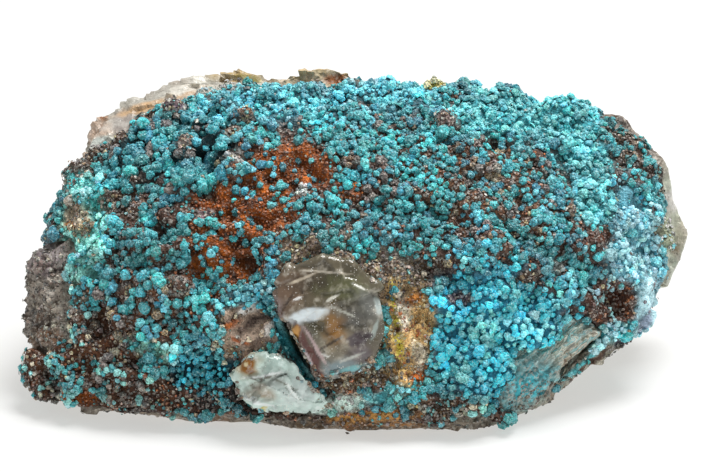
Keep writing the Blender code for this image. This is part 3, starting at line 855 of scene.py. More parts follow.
def speckled(tree, cells):
    """The point colour, broken into darker and lighter grains and cream flecks by the cells of a texture."""
    tint_values = point_value(tree, "tint")
    chance = chances(tree, cells)
    tone = tree.nodes.new("ShaderNodeValToRGB")
    tone.color_ramp.elements[0].color = (0.16, 0.16, 0.16, 1.0)
    tone.color_ramp.elements[1].color = (1.7, 1.7, 1.7, 1.0)
    middle = tone.color_ramp.elements.new(0.45)
    middle.color = (0.9, 0.9, 0.9, 1.0)
    tree.links.new(chance["Red"], tone.inputs["Fac"])
    dirt_and_shade = tint_values["Alpha"]
    contrast = spread(tree, dirt_and_shade, 0.3, 1.0)
    grains = blend_colour(tree, contrast, tint_values["Color"], tone.outputs["Color"], "MULTIPLY")
    brown = spread(tree, chance["Blue"], 0.0, 0.8, 0.7, 0.76)
    brown = times(tree, brown, spread(tree, dirt_and_shade, 0.0, 0.9, 0.38, 0.85))
    grains = blend_colour(tree, brown, grains, BROWN_GRAIN)
    fleck = spread(tree, chance["Green"], 0.0, 0.7, 0.84, 0.88)
    fleck = times(tree, fleck, spread(tree, dirt_and_shade, 0.0, 1.0, 0.35, 0.9))
    return blend_colour(tree, fleck, grains, CREAM_FLECK)


print("helpers for materials")

# %% Druse material
HAZE = (96, 178, 206)
SUGAR = (190, 240, 242)
SHEEN_TINT = (0.7, 0.95, 1.0, 1.0)
druse, tree, shader = material("druse")
crystals = value_texture(tree, "cells", 5.5)
dust = value_texture(tree, "noise", 1.6, 3.0)
grains = speckled(tree, crystals)
clean = spread(tree, point_value(tree, "tint")["Alpha"], 1.0, 0.15, 0.35, 0.8)
hazy = times(tree, spread(tree, dust.outputs["Fac"], 0.0, 0.4, 0.5, 0.72), clean)
hazed = blend_colour(tree, hazy, grains, HAZE)
# Pale cells are painted into the base colour, partly as sugary quartz and partly as painted glints.
sugar = chances(tree, value_texture(tree, "cells", 6.5))
sparkle = times(tree, spread(tree, sugar["Blue"], 0.0, 0.7, 0.78, 0.9), clean)
tree.links.new(blend_colour(tree, sparkle, hazed, SUGAR), shader.inputs["Base Color"])
tree.links.new(spread(tree, dust.outputs["Fac"], 0.25, 0.5, 0.3, 0.7), shader.inputs["Roughness"])
shader.inputs["Specular IOR Level"].default_value = 0.35
shader.inputs["Sheen Weight"].default_value = 0.2
shader.inputs["Sheen Roughness"].default_value = 0.4
shader.inputs["Sheen Tint"].default_value = SHEEN_TINT
bump(tree, shader, crystals.outputs["Distance"], 0.12, 0.9)
print("druse material,", len(tree.nodes), "nodes")

# %% Ground material
ground_look, tree, shader = material("crust_ground")
crumbs = value_texture(tree, "cells", 3.6)
tree.links.new(speckled(tree, crumbs), shader.inputs["Base Color"])
shader.inputs["Roughness"].default_value = 0.6
shader.inputs["Specular IOR Level"].default_value = 0.35
bump(tree, shader, crumbs.outputs["Distance"], 0.25, 0.9)
crust = finish_piece("crust_ground", crust_mesh, ground_look)
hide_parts("chrysocolla_crust")
print("ground material,", len(tree.nodes), "nodes")

# %% [markdown]
# ## One ball, many times
#
# A ball is a rounded cluster of crystals that sits on the ground, so only its upper part shows. A few
# different balls are made: each starts as an icosphere, is dented by noise, bristles with small tips, is cut
# below where the ground hides it, and is closed there. Where the closing face lies on a face that is there
# already, both go. The stone then carries turned, sized and tinted copies, joined into a few meshes.
# Instances would be lighter, but a joined mesh can be exported and each copy keeps its own colour.

# %% Ball shapes
BALL_FLOOR = -0.3
TIP_CHANCE = 0.35
LARGE_FORM = (3, 0.32, 0.14)
SMALL_FORM = (2, 0.3, 0.24)
GRAIN_FORM = (1, 0.5, 0.3)


def ball_shape(seed, subdivisions, dent, tips):
    """Points and triangles of one unit ball, bristling with crystal tips, that sits on the ground."""
    draw = np.random.default_rng(seed)
    bm = bmesh.new()
    bmesh.ops.create_icosphere(bm, subdivisions=subdivisions, radius=1.0)
    shift = Vector((seed * 3.7, seed * 1.3, seed * 2.1))
    for vert in bm.verts:
        swell = dent * noise.noise(vert.co * 1.6 + shift) + 0.5 * dent * noise.noise(vert.co * 4.0 + shift)
        tip = tips * draw.uniform(0.5, 1.0) if draw.random() < TIP_CHANCE else -tips * draw.uniform(0.0, 0.4)
        vert.co *= 1.0 + swell + tip
    buried = [vert for vert in bm.verts if vert.co.z < BALL_FLOOR]
    bmesh.ops.delete(bm, geom=buried, context="VERTS")
    rim = [edge for edge in bm.edges if edge.is_boundary]
    bmesh.ops.contextual_create(bm, geom=rim)
    bmesh.ops.triangulate(bm, faces=bm.faces)
    copies = Counter(frozenset(face.verts) for face in bm.faces)
    doubled = [face for face in bm.faces if copies[frozenset(face.verts)] > 1]
    bmesh.ops.delete(bm, geom=doubled, context="FACES")
    bmesh.ops.recalc_face_normals(bm, faces=bm.faces)
    bm.verts.index_update()
    points = np.array([vert.co for vert in bm.verts])
    triangles = np.array([[vert.index for vert in face.verts] for face in bm.faces])
    bm.free()
    return points, triangles


large_shapes = [ball_shape(seed, *LARGE_FORM) for seed in range(16)]
small_shapes = [ball_shape(seed, *SMALL_FORM) for seed in range(20, 32)]
grain_shapes = [ball_shape(seed, *GRAIN_FORM) for seed in range(40, 46)]
for kind, shapes in (("large", large_shapes), ("small", small_shapes), ("grain", grain_shapes)):
    print(kind, "shapes, faces:", [len(triangles) for _points, triangles in shapes])

# %% [markdown]
# Places for balls are drawn at random from the points of the crust skin, and each keeps its distance from
# those already taken, as growing balls do. A plain random scatter would pile some up and leave gaps.

# %% Places for the balls
BALL_SPACING = 1.36
BALL_GAP = 0.5
SIZE_STEPS = (0.6, 0.8, 1.0, 1.2, 1.45)
SIZE_CHANCES = (0.2, 0.24, 0.28, 0.18, 0.1)
BARE_FOOT = ((-14.0, 8.4, -0.8), (-31.0, -22.0, -0.2))
white_tree = solid_tree("white_quartz")


def clear_of_crystals(point, gap):
    """True if a point is at least this far, in millimetres, from both quartz crystals."""
    return all(tree.find_nearest(Vector(point), gap * MM)[0] is None for tree in (smoky_tree, white_tree))


def ranked(values):
    """Each value's rank as a share from 0 to 1."""
    rank = np.empty(len(values))
    rank[np.argsort(values)] = (np.arange(len(values)) + 0.5) / len(values)
    return rank


def clumped(places, looseness, turn):
    """Chances from 0 to 1 that the members of a cluster partly share."""
    shared = (cluster_chance[cluster[places]] + turn) % 1.0
    return ranked((1.0 - looseness) * shared + looseness * chooser.random(len(places)))


exposed = np.flatnonzero(outside > 0.5)
order = chooser.permutation(exposed)
sizes = crust_size * chooser.choice(SIZE_STEPS, len(crust_size), p=SIZE_CHANCES)
ball_places = take_places(order, ground_points, sizes * BALL_SPACING)
fill = crust_fill * (1 - bare) * (1.0 + 0.5 * waves(crust_points, 2.8, 31.0))
for left, right, top in BARE_FOOT:
    fill[(crust_face[:, 1] < top) & (crust_face[:, 0] > left) & (crust_face[:, 0] < right)] = 0.0
ball_places = ball_places[clumped(ball_places, 0.5, 0.0) < fill[ball_places]]
ball_places = np.array([index for index in ball_places if clear_of_crystals(ground_points[index], BALL_GAP)])
print(len(ball_places), "balls")

# %% [markdown]
# Each ball's colour is drawn from its patch, then varied. Its top is painted paler, as quartz frost and as a
# painted highlight, and its foot is painted darker, as shade, which gives the dark rings between the balls.
# All of it is worked out per point and stored in the mesh.

# %% Helpers for copies
# Painted highlight and shade: the share of frost colour on the tops and of dark foot colour on the feet.
FROST_AND_HIGHLIGHT = linear((200, 226, 230))
FROST_AND_HIGHLIGHT_SHARE = 0.14
FOOT_SHADE_SHARE = 0.85


def turned_to(directions):
    """Rotation matrices that turn +Z to each direction, with a random spin about it."""
    helper = np.where(np.abs(directions[:, 2:3]) < 0.9, [[0.0, 0.0, 1.0]], [[1.0, 0.0, 0.0]])
    side = np.cross(helper, directions)
    side /= np.linalg.norm(side, axis=1, keepdims=True)
    other = np.cross(directions, side)
    spin = chooser.uniform(0, 2 * math.pi, len(directions))[:, None]
    first = side * np.cos(spin) + other * np.sin(spin)
    second = np.cross(directions, first)
    return np.stack((first, second, directions), axis=2)


def joined_copies(shapes, centres, directions, radii, colours, foot, speckle):
    """One mesh of turned, sized and tinted copies, each of a random shape out of the list."""
    turns = turned_to(directions)
    picks = chooser.integers(0, len(shapes), len(centres))
    all_points, all_faces, all_colours, all_speckle = [], [], [], []
    start = 0
    for number, (points, triangles) in enumerate(shapes):
        chosen = np.flatnonzero(picks == number)
        if not len(chosen):
            continue
        placed = np.einsum("nij,pj->npi", turns[chosen], points) * (radii[chosen] * MM)[:, None, None]
        placed += centres[chosen][:, None, :]
        height = points[:, 2]
        # Painted highlight and shade: tops are blended towards the frost colour, feet towards a darker foot
        # colour.
        frost_and_highlight = np.clip((height - 0.3) / 0.7, 0, 1) * FROST_AND_HIGHLIGHT_SHARE
        dirt_and_shade = np.clip((0.5 - height) / 0.75, 0, 1) * FOOT_SHADE_SHARE
        shade = colours[chosen][:, None, :] * (1 - frost_and_highlight[None, :, None]) + frost_and_highlight[None, :, None] * FROST_AND_HIGHLIGHT
        shade = shade * (1 - dirt_and_shade[None, :, None]) + foot[chosen][:, None, :] * dirt_and_shade[None, :, None]
        offsets = start + np.arange(len(chosen)) * len(points)
        all_faces.append((triangles[None, :, :] + offsets[:, None, None]).reshape(-1, 3))
        all_points.append(placed.reshape(-1, 3))
        all_colours.append(shade.reshape(-1, 3))
        all_speckle.append(np.repeat(speckle[chosen], len(points)))
        start += len(chosen) * len(points)
    mesh = bpy.data.meshes.new("copies")
    mesh.from_pydata(np.concatenate(all_points), [], np.concatenate(all_faces))
    tint(mesh, np.concatenate(all_colours), np.concatenate(all_speckle))
    return mesh


def piece_of_copies(name, slot, *copies):
    """A finished piece of joined copies that wear the druse."""
    finish_piece(name, joined_copies(*copies), druse, smooth=False)


def families_at(places, shares):
    """One colour family for each place from the mix there, in clumps, as neighbours often share theirs."""
    heaps = np.cumsum(shares[places], axis=1)
    chance = clumped(places, 0.32, 0.37)
    return (chance[:, None] > heaps).sum(axis=1).clip(0, len(FAMILY_NAMES) - 1)


def varied(colours):
    """The colours, each a little brighter or darker and shifted in hue."""
    bright = chooser.uniform(0.72, 1.2, (len(colours), 1))
    return colours * bright * chooser.uniform(0.92, 1.08, colours.shape)


print("frosted tops and dirty feet, shares:", FROST_AND_HIGHLIGHT_SHARE, FOOT_SHADE_SHARE)

# %% Colours of the balls
# Painted light: balls in these patches are painted lighter, most on the cyan lip, which faces down from the
# lamp.
PAINTED_LIGHT_PATCHES = {
    "cyan lip": 0.4,
    "bright lower right": 0.18,
    "mint left": 0.5,
    "pale right": 0.15,
    "top band": 0.1,
}
drawn = families_at(ball_places, ball_shares)
ball_speckle = 0.55 * SPECKLE[drawn] + 0.45 * (ground_shares[ball_places] @ SPECKLE)
patch_tone = 1.0 + 0.5 * waves(crust_points[ball_places], 3.4, 21.0)
# Painted shade: balls low on the face are painted up to a third darker, as the lower face turns down.
low = np.clip((4.0 - crust_face[ball_places, 1]) / 5.0, 0, 1)
patch_tone = patch_tone * (1 - 0.3 * low)
for name, gain in PAINTED_LIGHT_PATCHES.items():
    patch_tone = patch_tone * (1 + gain * within(crust_face[ball_places], PATCHES[name], SOFT_EDGE))
ball_colours = varied(LIT[drawn]) * (cluster_tone[cluster[ball_places]] * patch_tone)[:, None]
# The feet colours are darker copies of the ground's, painted shade at the foot of each ball.
feet = 0.6 * SHADED_GROUND[drawn] + 0.1 * (ground_shares[ball_places] @ SHADED_GROUND)
print("families drawn:", dict(zip(FAMILY_NAMES, np.bincount(drawn, minlength=len(FAMILY_NAMES)).tolist())))

# %% Copies of the balls
LARGE_RADIUS = 0.52
radii = sizes[ball_places]
directions = ground_facing[ball_places] + 0.25 * chooser.normal(size=(len(ball_places), 3))
directions /= np.linalg.norm(directions, axis=1, keepdims=True)
lift = radii * chooser.uniform(0.0, 0.5, len(radii))
centres = ground_points[ball_places] + ground_facing[ball_places] * (lift * MM)[:, None]
face = to_face(centres)
large = radii > LARGE_RADIUS
BALL_GROUPS = {
    "druse_balls_left": large & (face[:, 0] < -10),
    "druse_balls_middle": large & (face[:, 0] >= -10) & (face[:, 0] < 12),
    "druse_balls_right": large & (face[:, 0] >= 12),
    "fine_balls_left": ~large & (face[:, 0] < 0),
    "fine_balls_right": ~large & (face[:, 0] >= 0),
}
for name, group in BALL_GROUPS.items():
    shapes = small_shapes if name.startswith("fine") else large_shapes
    rows = [values[group] for values in (centres, directions, radii, ball_colours, feet, ball_speckle)]
    piece_of_copies(name, "chrysocolla", shapes, *rows)
print("balls placed:", {name: int(group.sum()) for name, group in BALL_GROUPS.items()})

# %% [markdown]
# A real ball isn't smooth: smaller crystals stand on it. Each ball therefore gets a few buds of a handful of
# faces, in its own colour but lighter or darker, and they break up its round outline. Finer ball shapes could
# do that too, at ten times the number of faces.

# %% Buds on the balls
BUDS_EACH = 4
BUD_FACES_MOST = 195000
BUD_SIZES = (0.28, 0.5)
BUD_TONES = (0.7, 1.35)
parents = np.repeat(np.arange(len(radii)), BUDS_EACH)
bud_directions = directions[parents] * 0.6 + chooser.normal(size=(len(parents), 3)) * 0.8
bud_directions /= np.linalg.norm(bud_directions, axis=1, keepdims=True)
above = (bud_directions * directions[parents]).sum(axis=1) > 0.05
parents, bud_directions = parents[above], bud_directions[above]
keep = chooser.permutation(len(parents))[: BUD_FACES_MOST // len(grain_shapes[0][1])]
parents, bud_directions = parents[keep], bud_directions[keep]
bud_radii = radii[parents] * chooser.uniform(*BUD_SIZES, len(parents))
bud_centres = centres[parents] + bud_directions * (radii[parents] * 0.88 * MM)[:, None]
bud_colours = ball_colours[parents] * chooser.uniform(*BUD_TONES, (len(parents), 1))
# Painted shade: each bud's foot is painted at about a third of its colour.
bud_rows = (bud_centres, bud_directions, bud_radii, bud_colours, bud_colours * 0.35, ball_speckle[parents])
piece_of_copies("druse_buds", "chrysocolla", grain_shapes, *bud_rows)

# %% [markdown]
# ## Loose grains and iron oxide
#
# Between the balls lie minute grains: iron oxide crumbs where the crust is orange, brown and white specks
# elsewhere. They are the same kind of joined copies, from shapes of few faces, since each is only a few
# tenths of a millimetre across. Torn and glassy places have almost none.

# %% Grains
GRAIN_SPACING = 0.36
GRAIN_MOST = 11000
GRAIN_SPECKLE = 0.8
GRAIN_GAP = 0.15
GRAIN_RADII = (0.13, 0.32)
MIXED_GRAINS = [(228, 222, 208), (176, 140, 100), (120, 78, 48), (92, 64, 50)]
MIXED_GRAINS += [(196, 166, 150), (60, 38, 28), (104, 176, 172), (206, 190, 140)]
polished = np.zeros(len(crust_points))
for name in ("glassy body", "torn end", "blue flange"):
    polished = np.maximum(polished, within(crust_face, GROUND_MARKS[name], FRAYED_EDGE, fray))
crumbly = ground_shares @ SPECKLE * (1.25 - crust_fill) + 0.9 * np.maximum(on_peak, rim) + 0.5 * iron
crumbly *= 1 - 0.9 * np.maximum(polished, on_crag * (crust_face[:, 0] < -11) * (crust_face[:, 1] < 12))
grain_order = chooser.permutation(exposed)
grain_wanted = grain_order[chooser.random(len(grain_order)) < crumbly[grain_order]]
grain_spacing = np.full(len(crust_points), GRAIN_SPACING)
grain_places = take_places(grain_wanted, ground_points, grain_spacing)[:GRAIN_MOST]
grain_clear = [clear_of_crystals(ground_points[index], GRAIN_GAP) for index in grain_places]
grain_places = grain_places[grain_clear]
grain_colours = varied(LIT[families_at(grain_places, ground_shares)] * 0.85)
earthy = ground_shares[:, FAMILY_NAMES.index("brown")] + ground_shares[:, FAMILY_NAMES.index("tan")]
odd = 0.08 + 0.6 * earthy + 0.8 * np.maximum(on_peak, rim)
odd *= 1 - 0.9 * within(crust_face, GROUND_MARKS["ochre body"], FRAYED_EDGE, fray)
mixed = chooser.random(len(grain_places)) < odd[grain_places]
grain_colours[mixed] = linear(MIXED_GRAINS)[chooser.integers(0, len(MIXED_GRAINS), int(mixed.sum()))]
grain_radii = chooser.uniform(*GRAIN_RADII, len(grain_places)) * (1 - 0.3 * iron[grain_places])
lift = chooser.uniform(-0.1, 0.35, len(grain_places)) * grain_radii
grain_centres = ground_points[grain_places] + ground_facing[grain_places] * (lift * MM)[:, None]
# Painted shade: each grain's foot is painted at two fifths of its colour.
grain_rows = (grain_centres, ground_facing[grain_places], grain_radii, grain_colours, grain_colours * 0.4)
speckle = np.full(len(grain_places), GRAIN_SPECKLE)
piece_of_copies("oxide_grains", "chrysocolla", grain_shapes, *grain_rows, speckle)

# %% [markdown]
# ## The quartz block
#
# The host rock is massive quartz that broke along flat and shell-shaped faces. Its ledges at the upper left
# are pale and almost bare, its left side is grey brown, a weathered point stands out at the right, and the
# back is broken and stained by iron. At the lower right a strip is torn into fibres. The fine copy is broken
# up into cells that lean each its own way, which makes small flat faces with sharp edges, as a hammer does.
# Smooth noise alone would look like clay. The marks that colour the rock also say where it is torn or glassy.

# %% Marks on the rock
ROCK_GRAIN = 0.38
ROCK_COLOUR = (158, 146, 130)
ROCK_MARKS = {
    "ledges": (-22.0, 36.4, 12.0, 5.2, 24, (190, 186, 174), 0.8),
    "pink ledge": (-31.4, 32.0, 2.6, 2.4, 50, (208, 182, 160), 0.8),
    "striped facet": (-30.8, 31.4, 1.8, 0.7, 20, (216, 224, 216), 0.9),
    "ledge spot": (-30.8, 34.7, 0.6, 0.4, 0, (206, 130, 70), 0.5),
    "grey ledge": (-27.8, 33.6, 1.6, 1.6, 0, (178, 168, 160), 0.8),
    "orange band": (-24.0, 36.2, 5.2, 0.45, 18, (216, 178, 134), 0.7),
    "cyan streak": (-22.8, 35.0, 4.2, 0.5, 24, (196, 208, 202), 0.8),
    "white ledge": (-20.6, 38.0, 3.0, 0.6, 24, (224, 220, 208), 0.9),
    "tan ledge": (-14.6, 40.0, 3.6, 1.2, 0, (196, 168, 112), 0.6),
    "yellow ledge": (-13.2, 39.4, 1.6, 0.4, -10, (198, 184, 104), 0.5),
    "lilac ledge": (-12.6, 40.8, 1.8, 0.5, 0, (176, 164, 160), 0.7),
    "weathered top": (-3.6, 39.9, 6.4, 1.6, 0, (214, 190, 148), 0.5),
    "rusty top": (-2.4, 39.4, 1.4, 0.7, 0, (168, 98, 48), 0.3),
    "olive point": (38.8, 20.8, 3.6, 7.4, 0, (206, 214, 194), 0.6),
    "grey point": (38.4, 24.6, 1.8, 1.4, 20, (206, 204, 196), 0.7),
    "dark point": (38.6, 18.6, 1.4, 0.6, -60, (130, 126, 104), 0.4),
    "grey brown side": (-37.8, 14.0, 4.4, 8.6, 0, (168, 156, 142), 0.15),
    "lilac side": (-37.0, 17.6, 2.6, 2.0, 30, (154, 140, 142), 0.3),
    "dark side": (-38.2, 10.2, 1.8, 1.6, 20, (100, 88, 78), 0.2),
    "rusty side": (-36.4, 8.4, 1.8, 1.0, -10, (140, 98, 66), 0.2),
    "pale side": (-36.8, 12.8, 1.4, 0.6, 30, (196, 186, 174), 0.3),
    "torn strip": (24.0, 6.4, 7.4, 5.0, 38, (190, 192, 174), 0.5),
    "teal tear": (22.6, 7.6, 6.4, 1.9, 40, (70, 180, 190), 0.2),
    "white tear": (23.2, 5.6, 5.2, 0.5, 38, (212, 212, 196), 0.7),
    "brown tear": (25.0, 5.4, 5.0, 0.6, 38, (116, 92, 68), 0.2),
    "blue tear": (27.4, 8.8, 2.6, 0.5, 40, (88, 156, 170), 0.2),
    "brown foot": (27.0, 3.0, 4.4, 1.4, 30, (120, 94, 70), 0.1),
    "teal foot": (20.2, 2.6, 4.2, 2.4, 34, (70, 206, 220), 0.05),
    "rusty foot": (24.4, 1.8, 1.8, 0.8, 20, (150, 100, 60), 0.1),
    "right shoulder": (32.8, 33.0, 5.0, 1.8, -40, (104, 92, 84), 0.0),
    "front foot": (0.0, -3.0, 14.0, 1.6, 0, (116, 92, 64), 0.0),
    "orange foot": (2.6, -1.8, 5.0, 0.6, 0, (186, 130, 70), 0.0),
}
print(len(ROCK_MARKS), "marks on the rock")

# %% Breaking the rock
TEAR_TURN = math.radians(38)
TEAR_WIDTH = 1.1
ROCK_SWELL = 0.15
ROCK_PUSH = (-1.6, 1.0)
CRUST_REACH = 4.0
UNDER_CRUST = -0.4
ROCK_HIDDEN_REACH = 6.0
ROCK_KEPT_SHARE = 0.35
LARGE_CELL = 4.4
SMALL_CELL = 1.6
rock_mesh = fine_copy("quartz_matrix", ROCK_GRAIN, "chrysocolla_crust", ROCK_HIDDEN_REACH, ROCK_KEPT_SHARE)
rock_points, rock_facing = points_of(rock_mesh)
rock_face = to_face(rock_points)
front = np.clip((rock_facing @ TOWARD + 0.45) / 0.4, 0, 1)[:, None]
broad = waves(rock_points, 7.0, 2.0)
fine = waves(rock_points, 1.1, 9.0)
large_break, large_border = facets(rock_points, LARGE_CELL, warp=0.4)
small_break, small_border = facets(rock_points, SMALL_CELL, 5.0, warp=0.4)
torn = within(rock_face, ROCK_MARKS["torn strip"], SOFT_EDGE)
rough_side = within(rock_face, ROCK_MARKS["grey brown side"], SOFT_EDGE)
point_share = within(rock_face, ROCK_MARKS["olive point"], SOFT_EDGE)
ledge_share = within(rock_face, ROCK_MARKS["ledges"], SOFT_EDGE)
beside = rock_face[:, :2] @ (-math.sin(TEAR_TURN), math.cos(TEAR_TURN)) + 0.3 * waves(rock_points, 2.0)
tears = np.abs((beside / TEAR_WIDTH) % 1.0 - 0.5) * 2.0
glassy = np.maximum(ledge_share, point_share) * front[:, 0]
crumbs = (0.35 + 0.4 * rough_side) * (1 - 0.75 * glassy)
broken = 0.7 * large_break * (1 - torn) + crumbs * small_break + 0.1 * fine
broken += torn * 0.6 * (tears - 0.5) + 0.4 * glassy * (rock_face[:, 0] < 0)
broken *= 1 - 0.75 * point_share
above_base = np.clip(rock_points[:, 2] / MM / 0.8, 0, 1)
push = np.clip(broken + ROCK_SWELL, *ROCK_PUSH) * above_base
crust_tree = solid_tree("chrysocolla_crust")
covered = np.array(
    [
        crust_tree.ray_cast(Vector(point), Vector(facing), CRUST_REACH * MM)[0] is not None
        for point, facing in zip(rock_points, rock_facing)
    ]
)
push = np.where(covered, np.minimum(push, UNDER_CRUST), push)
rock_mesh.vertices.foreach_set("co", (rock_points + rock_facing * (push * MM)[:, None]).ravel())
print("broken faces stand up to", push.max().round(2), "mm proud")

# %% [markdown]
# The broken faces differ in brightness because each catches the light its own way, and the borders between
# them show as thin dark cracks. Both are worked into the colour of each point, so that they stay where the
# faces are. How torn each point is goes into a second attribute.

# %% Colours of the quartz
base = plain(ROCK_COLOUR, 0.3, len(rock_points))
rock_paint = painted(base, rock_face, ROCK_MARKS, 0.25 * fine)
rock_paint = rock_paint * front + base * (1 - front)
cracks = np.clip(1.0 - np.minimum(large_border / 0.05, small_border / 0.08), 0, 1) * (1 - rock_paint[:, 3])
cracks *= 0.4 + 0.6 * front[:, 0]
lean = 1.0 + 0.2 * large_break + 0.18 * small_break + 0.14 * broad + 0.24 * rough_side * fine
# Painted shade: the grooves between the torn fibres are painted up to a third darker.
rock_paint[:, :3] *= (lean * (1 - 0.6 * cracks) * (1 - 0.35 * torn * (1 - tears)))[:, None]
tint(rock_mesh, rock_paint[:, :3], rock_paint[:, 3])
fibre_share = torn * front[:, 0] * (1 - within(rock_face, ROCK_MARKS["teal foot"], 5.0, 0.25 * fine))
rock_mesh.attributes.new("torn", "FLOAT", "POINT").data.foreach_set("value", fibre_share)
print("share of cracks:", cracks.mean().round(3), "share of fibres:", fibre_share.mean().round(3))

# %% [markdown]
# Where it is clean the quartz is glossy with milky veils. Where it is dull it has rusty stains and dark and
# pale specks. The fibres of the torn strip are noise that is stretched along the tear, read through a ramp of
# bone, brown and teal. Painted stripes would be too even.

# %% Quartz material
MILK = (226, 222, 212)
RUST = (146, 98, 56)
DARK_SPECK = (66, 54, 46)
PALE_SPECK = (206, 198, 186)
# Painted light: the fibre tones are painted lighter, since the torn strip faces down and away from the lamp.
TEAR_TONES = {
    0.36: (86, 62, 46),
    0.41: (160, 146, 118),
    0.46: (206, 212, 192),
    0.5: (252, 250, 238),
    0.53: (150, 130, 104),
    0.58: (104, 200, 208),
    0.63: (240, 240, 224),
    0.68: (104, 76, 54),
}


def fibres_of(tree):
    """The colour of fibres that run along the tear."""
    stretched = tree.nodes.new("ShaderNodeCombineXYZ")
    along_tear = math.cos(TEAR_TURN) * ACROSS + math.sin(TEAR_TURN) * UP
    beside_tear = math.cos(TEAR_TURN) * UP - math.sin(TEAR_TURN) * ACROSS
    for socket, direction in (("X", 0.12 * along_tear), ("Y", beside_tear), ("Z", TOWARD)):
        product = tree.nodes.new("ShaderNodeVectorMath")
        product.operation = "DOT_PRODUCT"
        product.inputs[1].default_value = direction
        tree.links.new(tree.nodes["place"].outputs["Object"], product.inputs[0])
        tree.links.new(product.outputs["Value"], stretched.inputs[socket])
    fibres = value_texture(tree, "noise", 1.9, 5.0)
    tree.links.new(stretched.outputs["Vector"], fibres.inputs["Vector"])
    ramp = tree.nodes.new("ShaderNodeValToRGB")
    for position, tone in TEAR_TONES.items():
        element = ramp.color_ramp.elements.new(position)
        element.color = (*linear(tone), 1.0)
    tree.links.new(fibres.outputs["Fac"], ramp.inputs["Fac"])
    return ramp.outputs["Color"]


rock_look, tree, shader = material("broken_quartz")
clouds = value_texture(tree, "noise", 0.45, 5.0)
stains = value_texture(tree, "noise", 0.16, 4.0)
grit = value_texture(tree, "noise", 3.5, 4.0)
tint_values = point_value(tree, "tint")
clear = tint_values["Alpha"]
dull = spread(tree, clear, 1.0, 0.25, 0.0, 0.8)
veils = times(tree, spread(tree, clouds.outputs["Fac"], 0.0, 0.6, 0.5, 0.7), spread(tree, clear, 0.5, 1.0))
cloudy = blend_colour(tree, veils, tint_values["Color"], MILK)
rusty = times(tree, spread(tree, stains.outputs["Fac"], 0.0, 0.8, 0.55, 0.66), dull)
stained = blend_colour(tree, rusty, cloudy, RUST)
specks = chances(tree, value_texture(tree, "cells", 3.4))
torn_share = point_value(tree, "torn")["Fac"]
stained = blend_colour(tree, spread(tree, torn_share, 0.0, 0.75), stained, fibres_of(tree))
dull = times(tree, dull, spread(tree, torn_share, 1.0, 0.2))
dark = times(tree, spread(tree, specks["Red"], 0.75, 0.0, 0.0, 0.6), dull)
peppered = blend_colour(tree, dark, stained, DARK_SPECK)
pale = times(tree, spread(tree, specks["Green"], 0.0, 0.6, 0.7, 0.9), dull)
tree.links.new(blend_colour(tree, pale, peppered, PALE_SPECK), shader.inputs["Base Color"])
tree.links.new(spread(tree, clear, 0.6, 0.18), shader.inputs["Roughness"])
bump(tree, shader, grit.outputs["Fac"], 0.15, 0.6)
rock = finish_piece("quartz_block", rock_mesh, rock_look, smooth=False)
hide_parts("quartz_matrix")

# %% [markdown]
# ## The smoky crystal
#
# A clear quartz crystal broke off here and left a window into the stone: brownish, glassy, with white cracks
# and amber stains inside. It is made of plain glass-like transmission with quartz's own index of refraction
# and an absorption that browns the light on its way through. Where veils, flecks and stains lie just under
# its face it is painted on and less clear. A painted picture of a crystal would look flat from the side, so
# the break's steps and ripples are real shapes.

# %% Breaking the crystals
QUARTZ_IOR = 1.54
CRYSTAL_GRAIN = 0.2
FACET_RISE = 0.5
CLOUD_EDGE = 3.6
CRACK_EDGE = 14.0
PALE_EDGE = (214, 210, 200)
FLECK = (242, 240, 232)


def step(face, across, up, turn, softness):
    """0 on one side of a line across the face and 1 on the other; the line turns by so many degrees."""
    angle = math.radians(turn)
    beside = (face[:, :2] - (across, up)) @ (-math.sin(angle), math.cos(angle))
    return 1.0 / (1.0 + np.exp(np.clip(-beside / softness, -30, 30)))


def crystal_piece(node, base, marks, impact, ripple, ripple_length, steps, cell):
    """A fine copy of a crystal with steps, broken faces and ripples round the point where the blow fell.

    The marks are two sets of ovals: soft clouds inside it, then sharp cracks and stains."""
    mesh = fine_copy(node, CRYSTAL_GRAIN)
    points, facing = points_of(mesh)
    face = to_face(points)
    distance = np.linalg.norm(face - np.array(impact), axis=1)
    rings = np.sin(distance * 2 * math.pi / ripple_length + 2.0 * waves(points, 3.0))
    rise, border = facets(points, cell)
    push = ripple * (rings * 0.5 + 0.8 * waves(points, 2.4, 4.0)) + FACET_RISE * rise
    for *line, softness, height in steps:
        push += height * (step(face, *line, softness) - 0.5)
    mesh.vertices.foreach_set("co", (points + facing * (push * MM)[:, None]).ravel())
    fray = 0.4 * waves(points, 1.6, 8.0) + 0.25 * waves(points, 0.7, 15.0)
    paint = painted(plain(*base, len(points)), face, marks[0], 1.4 * fray, CLOUD_EDGE)
    paint = painted(paint, face, marks[1], fray, CRACK_EDGE)
    edge = (np.clip(1.0 - border / 0.04, 0, 1) * 0.2)[:, None]
    paint = paint * (1 - edge) + plain(PALE_EDGE, 0.2, 1) * edge
    # Painted light: each broken face is painted lighter or darker by its rise, as it would catch the light.
    paint[:, :3] *= (1.0 + 0.16 * rise + 0.18 * waves(points, 0.8, 12.0))[:, None]
    tint(mesh, paint[:, :3], np.clip(paint[:, 3], 0, 1))
    return mesh


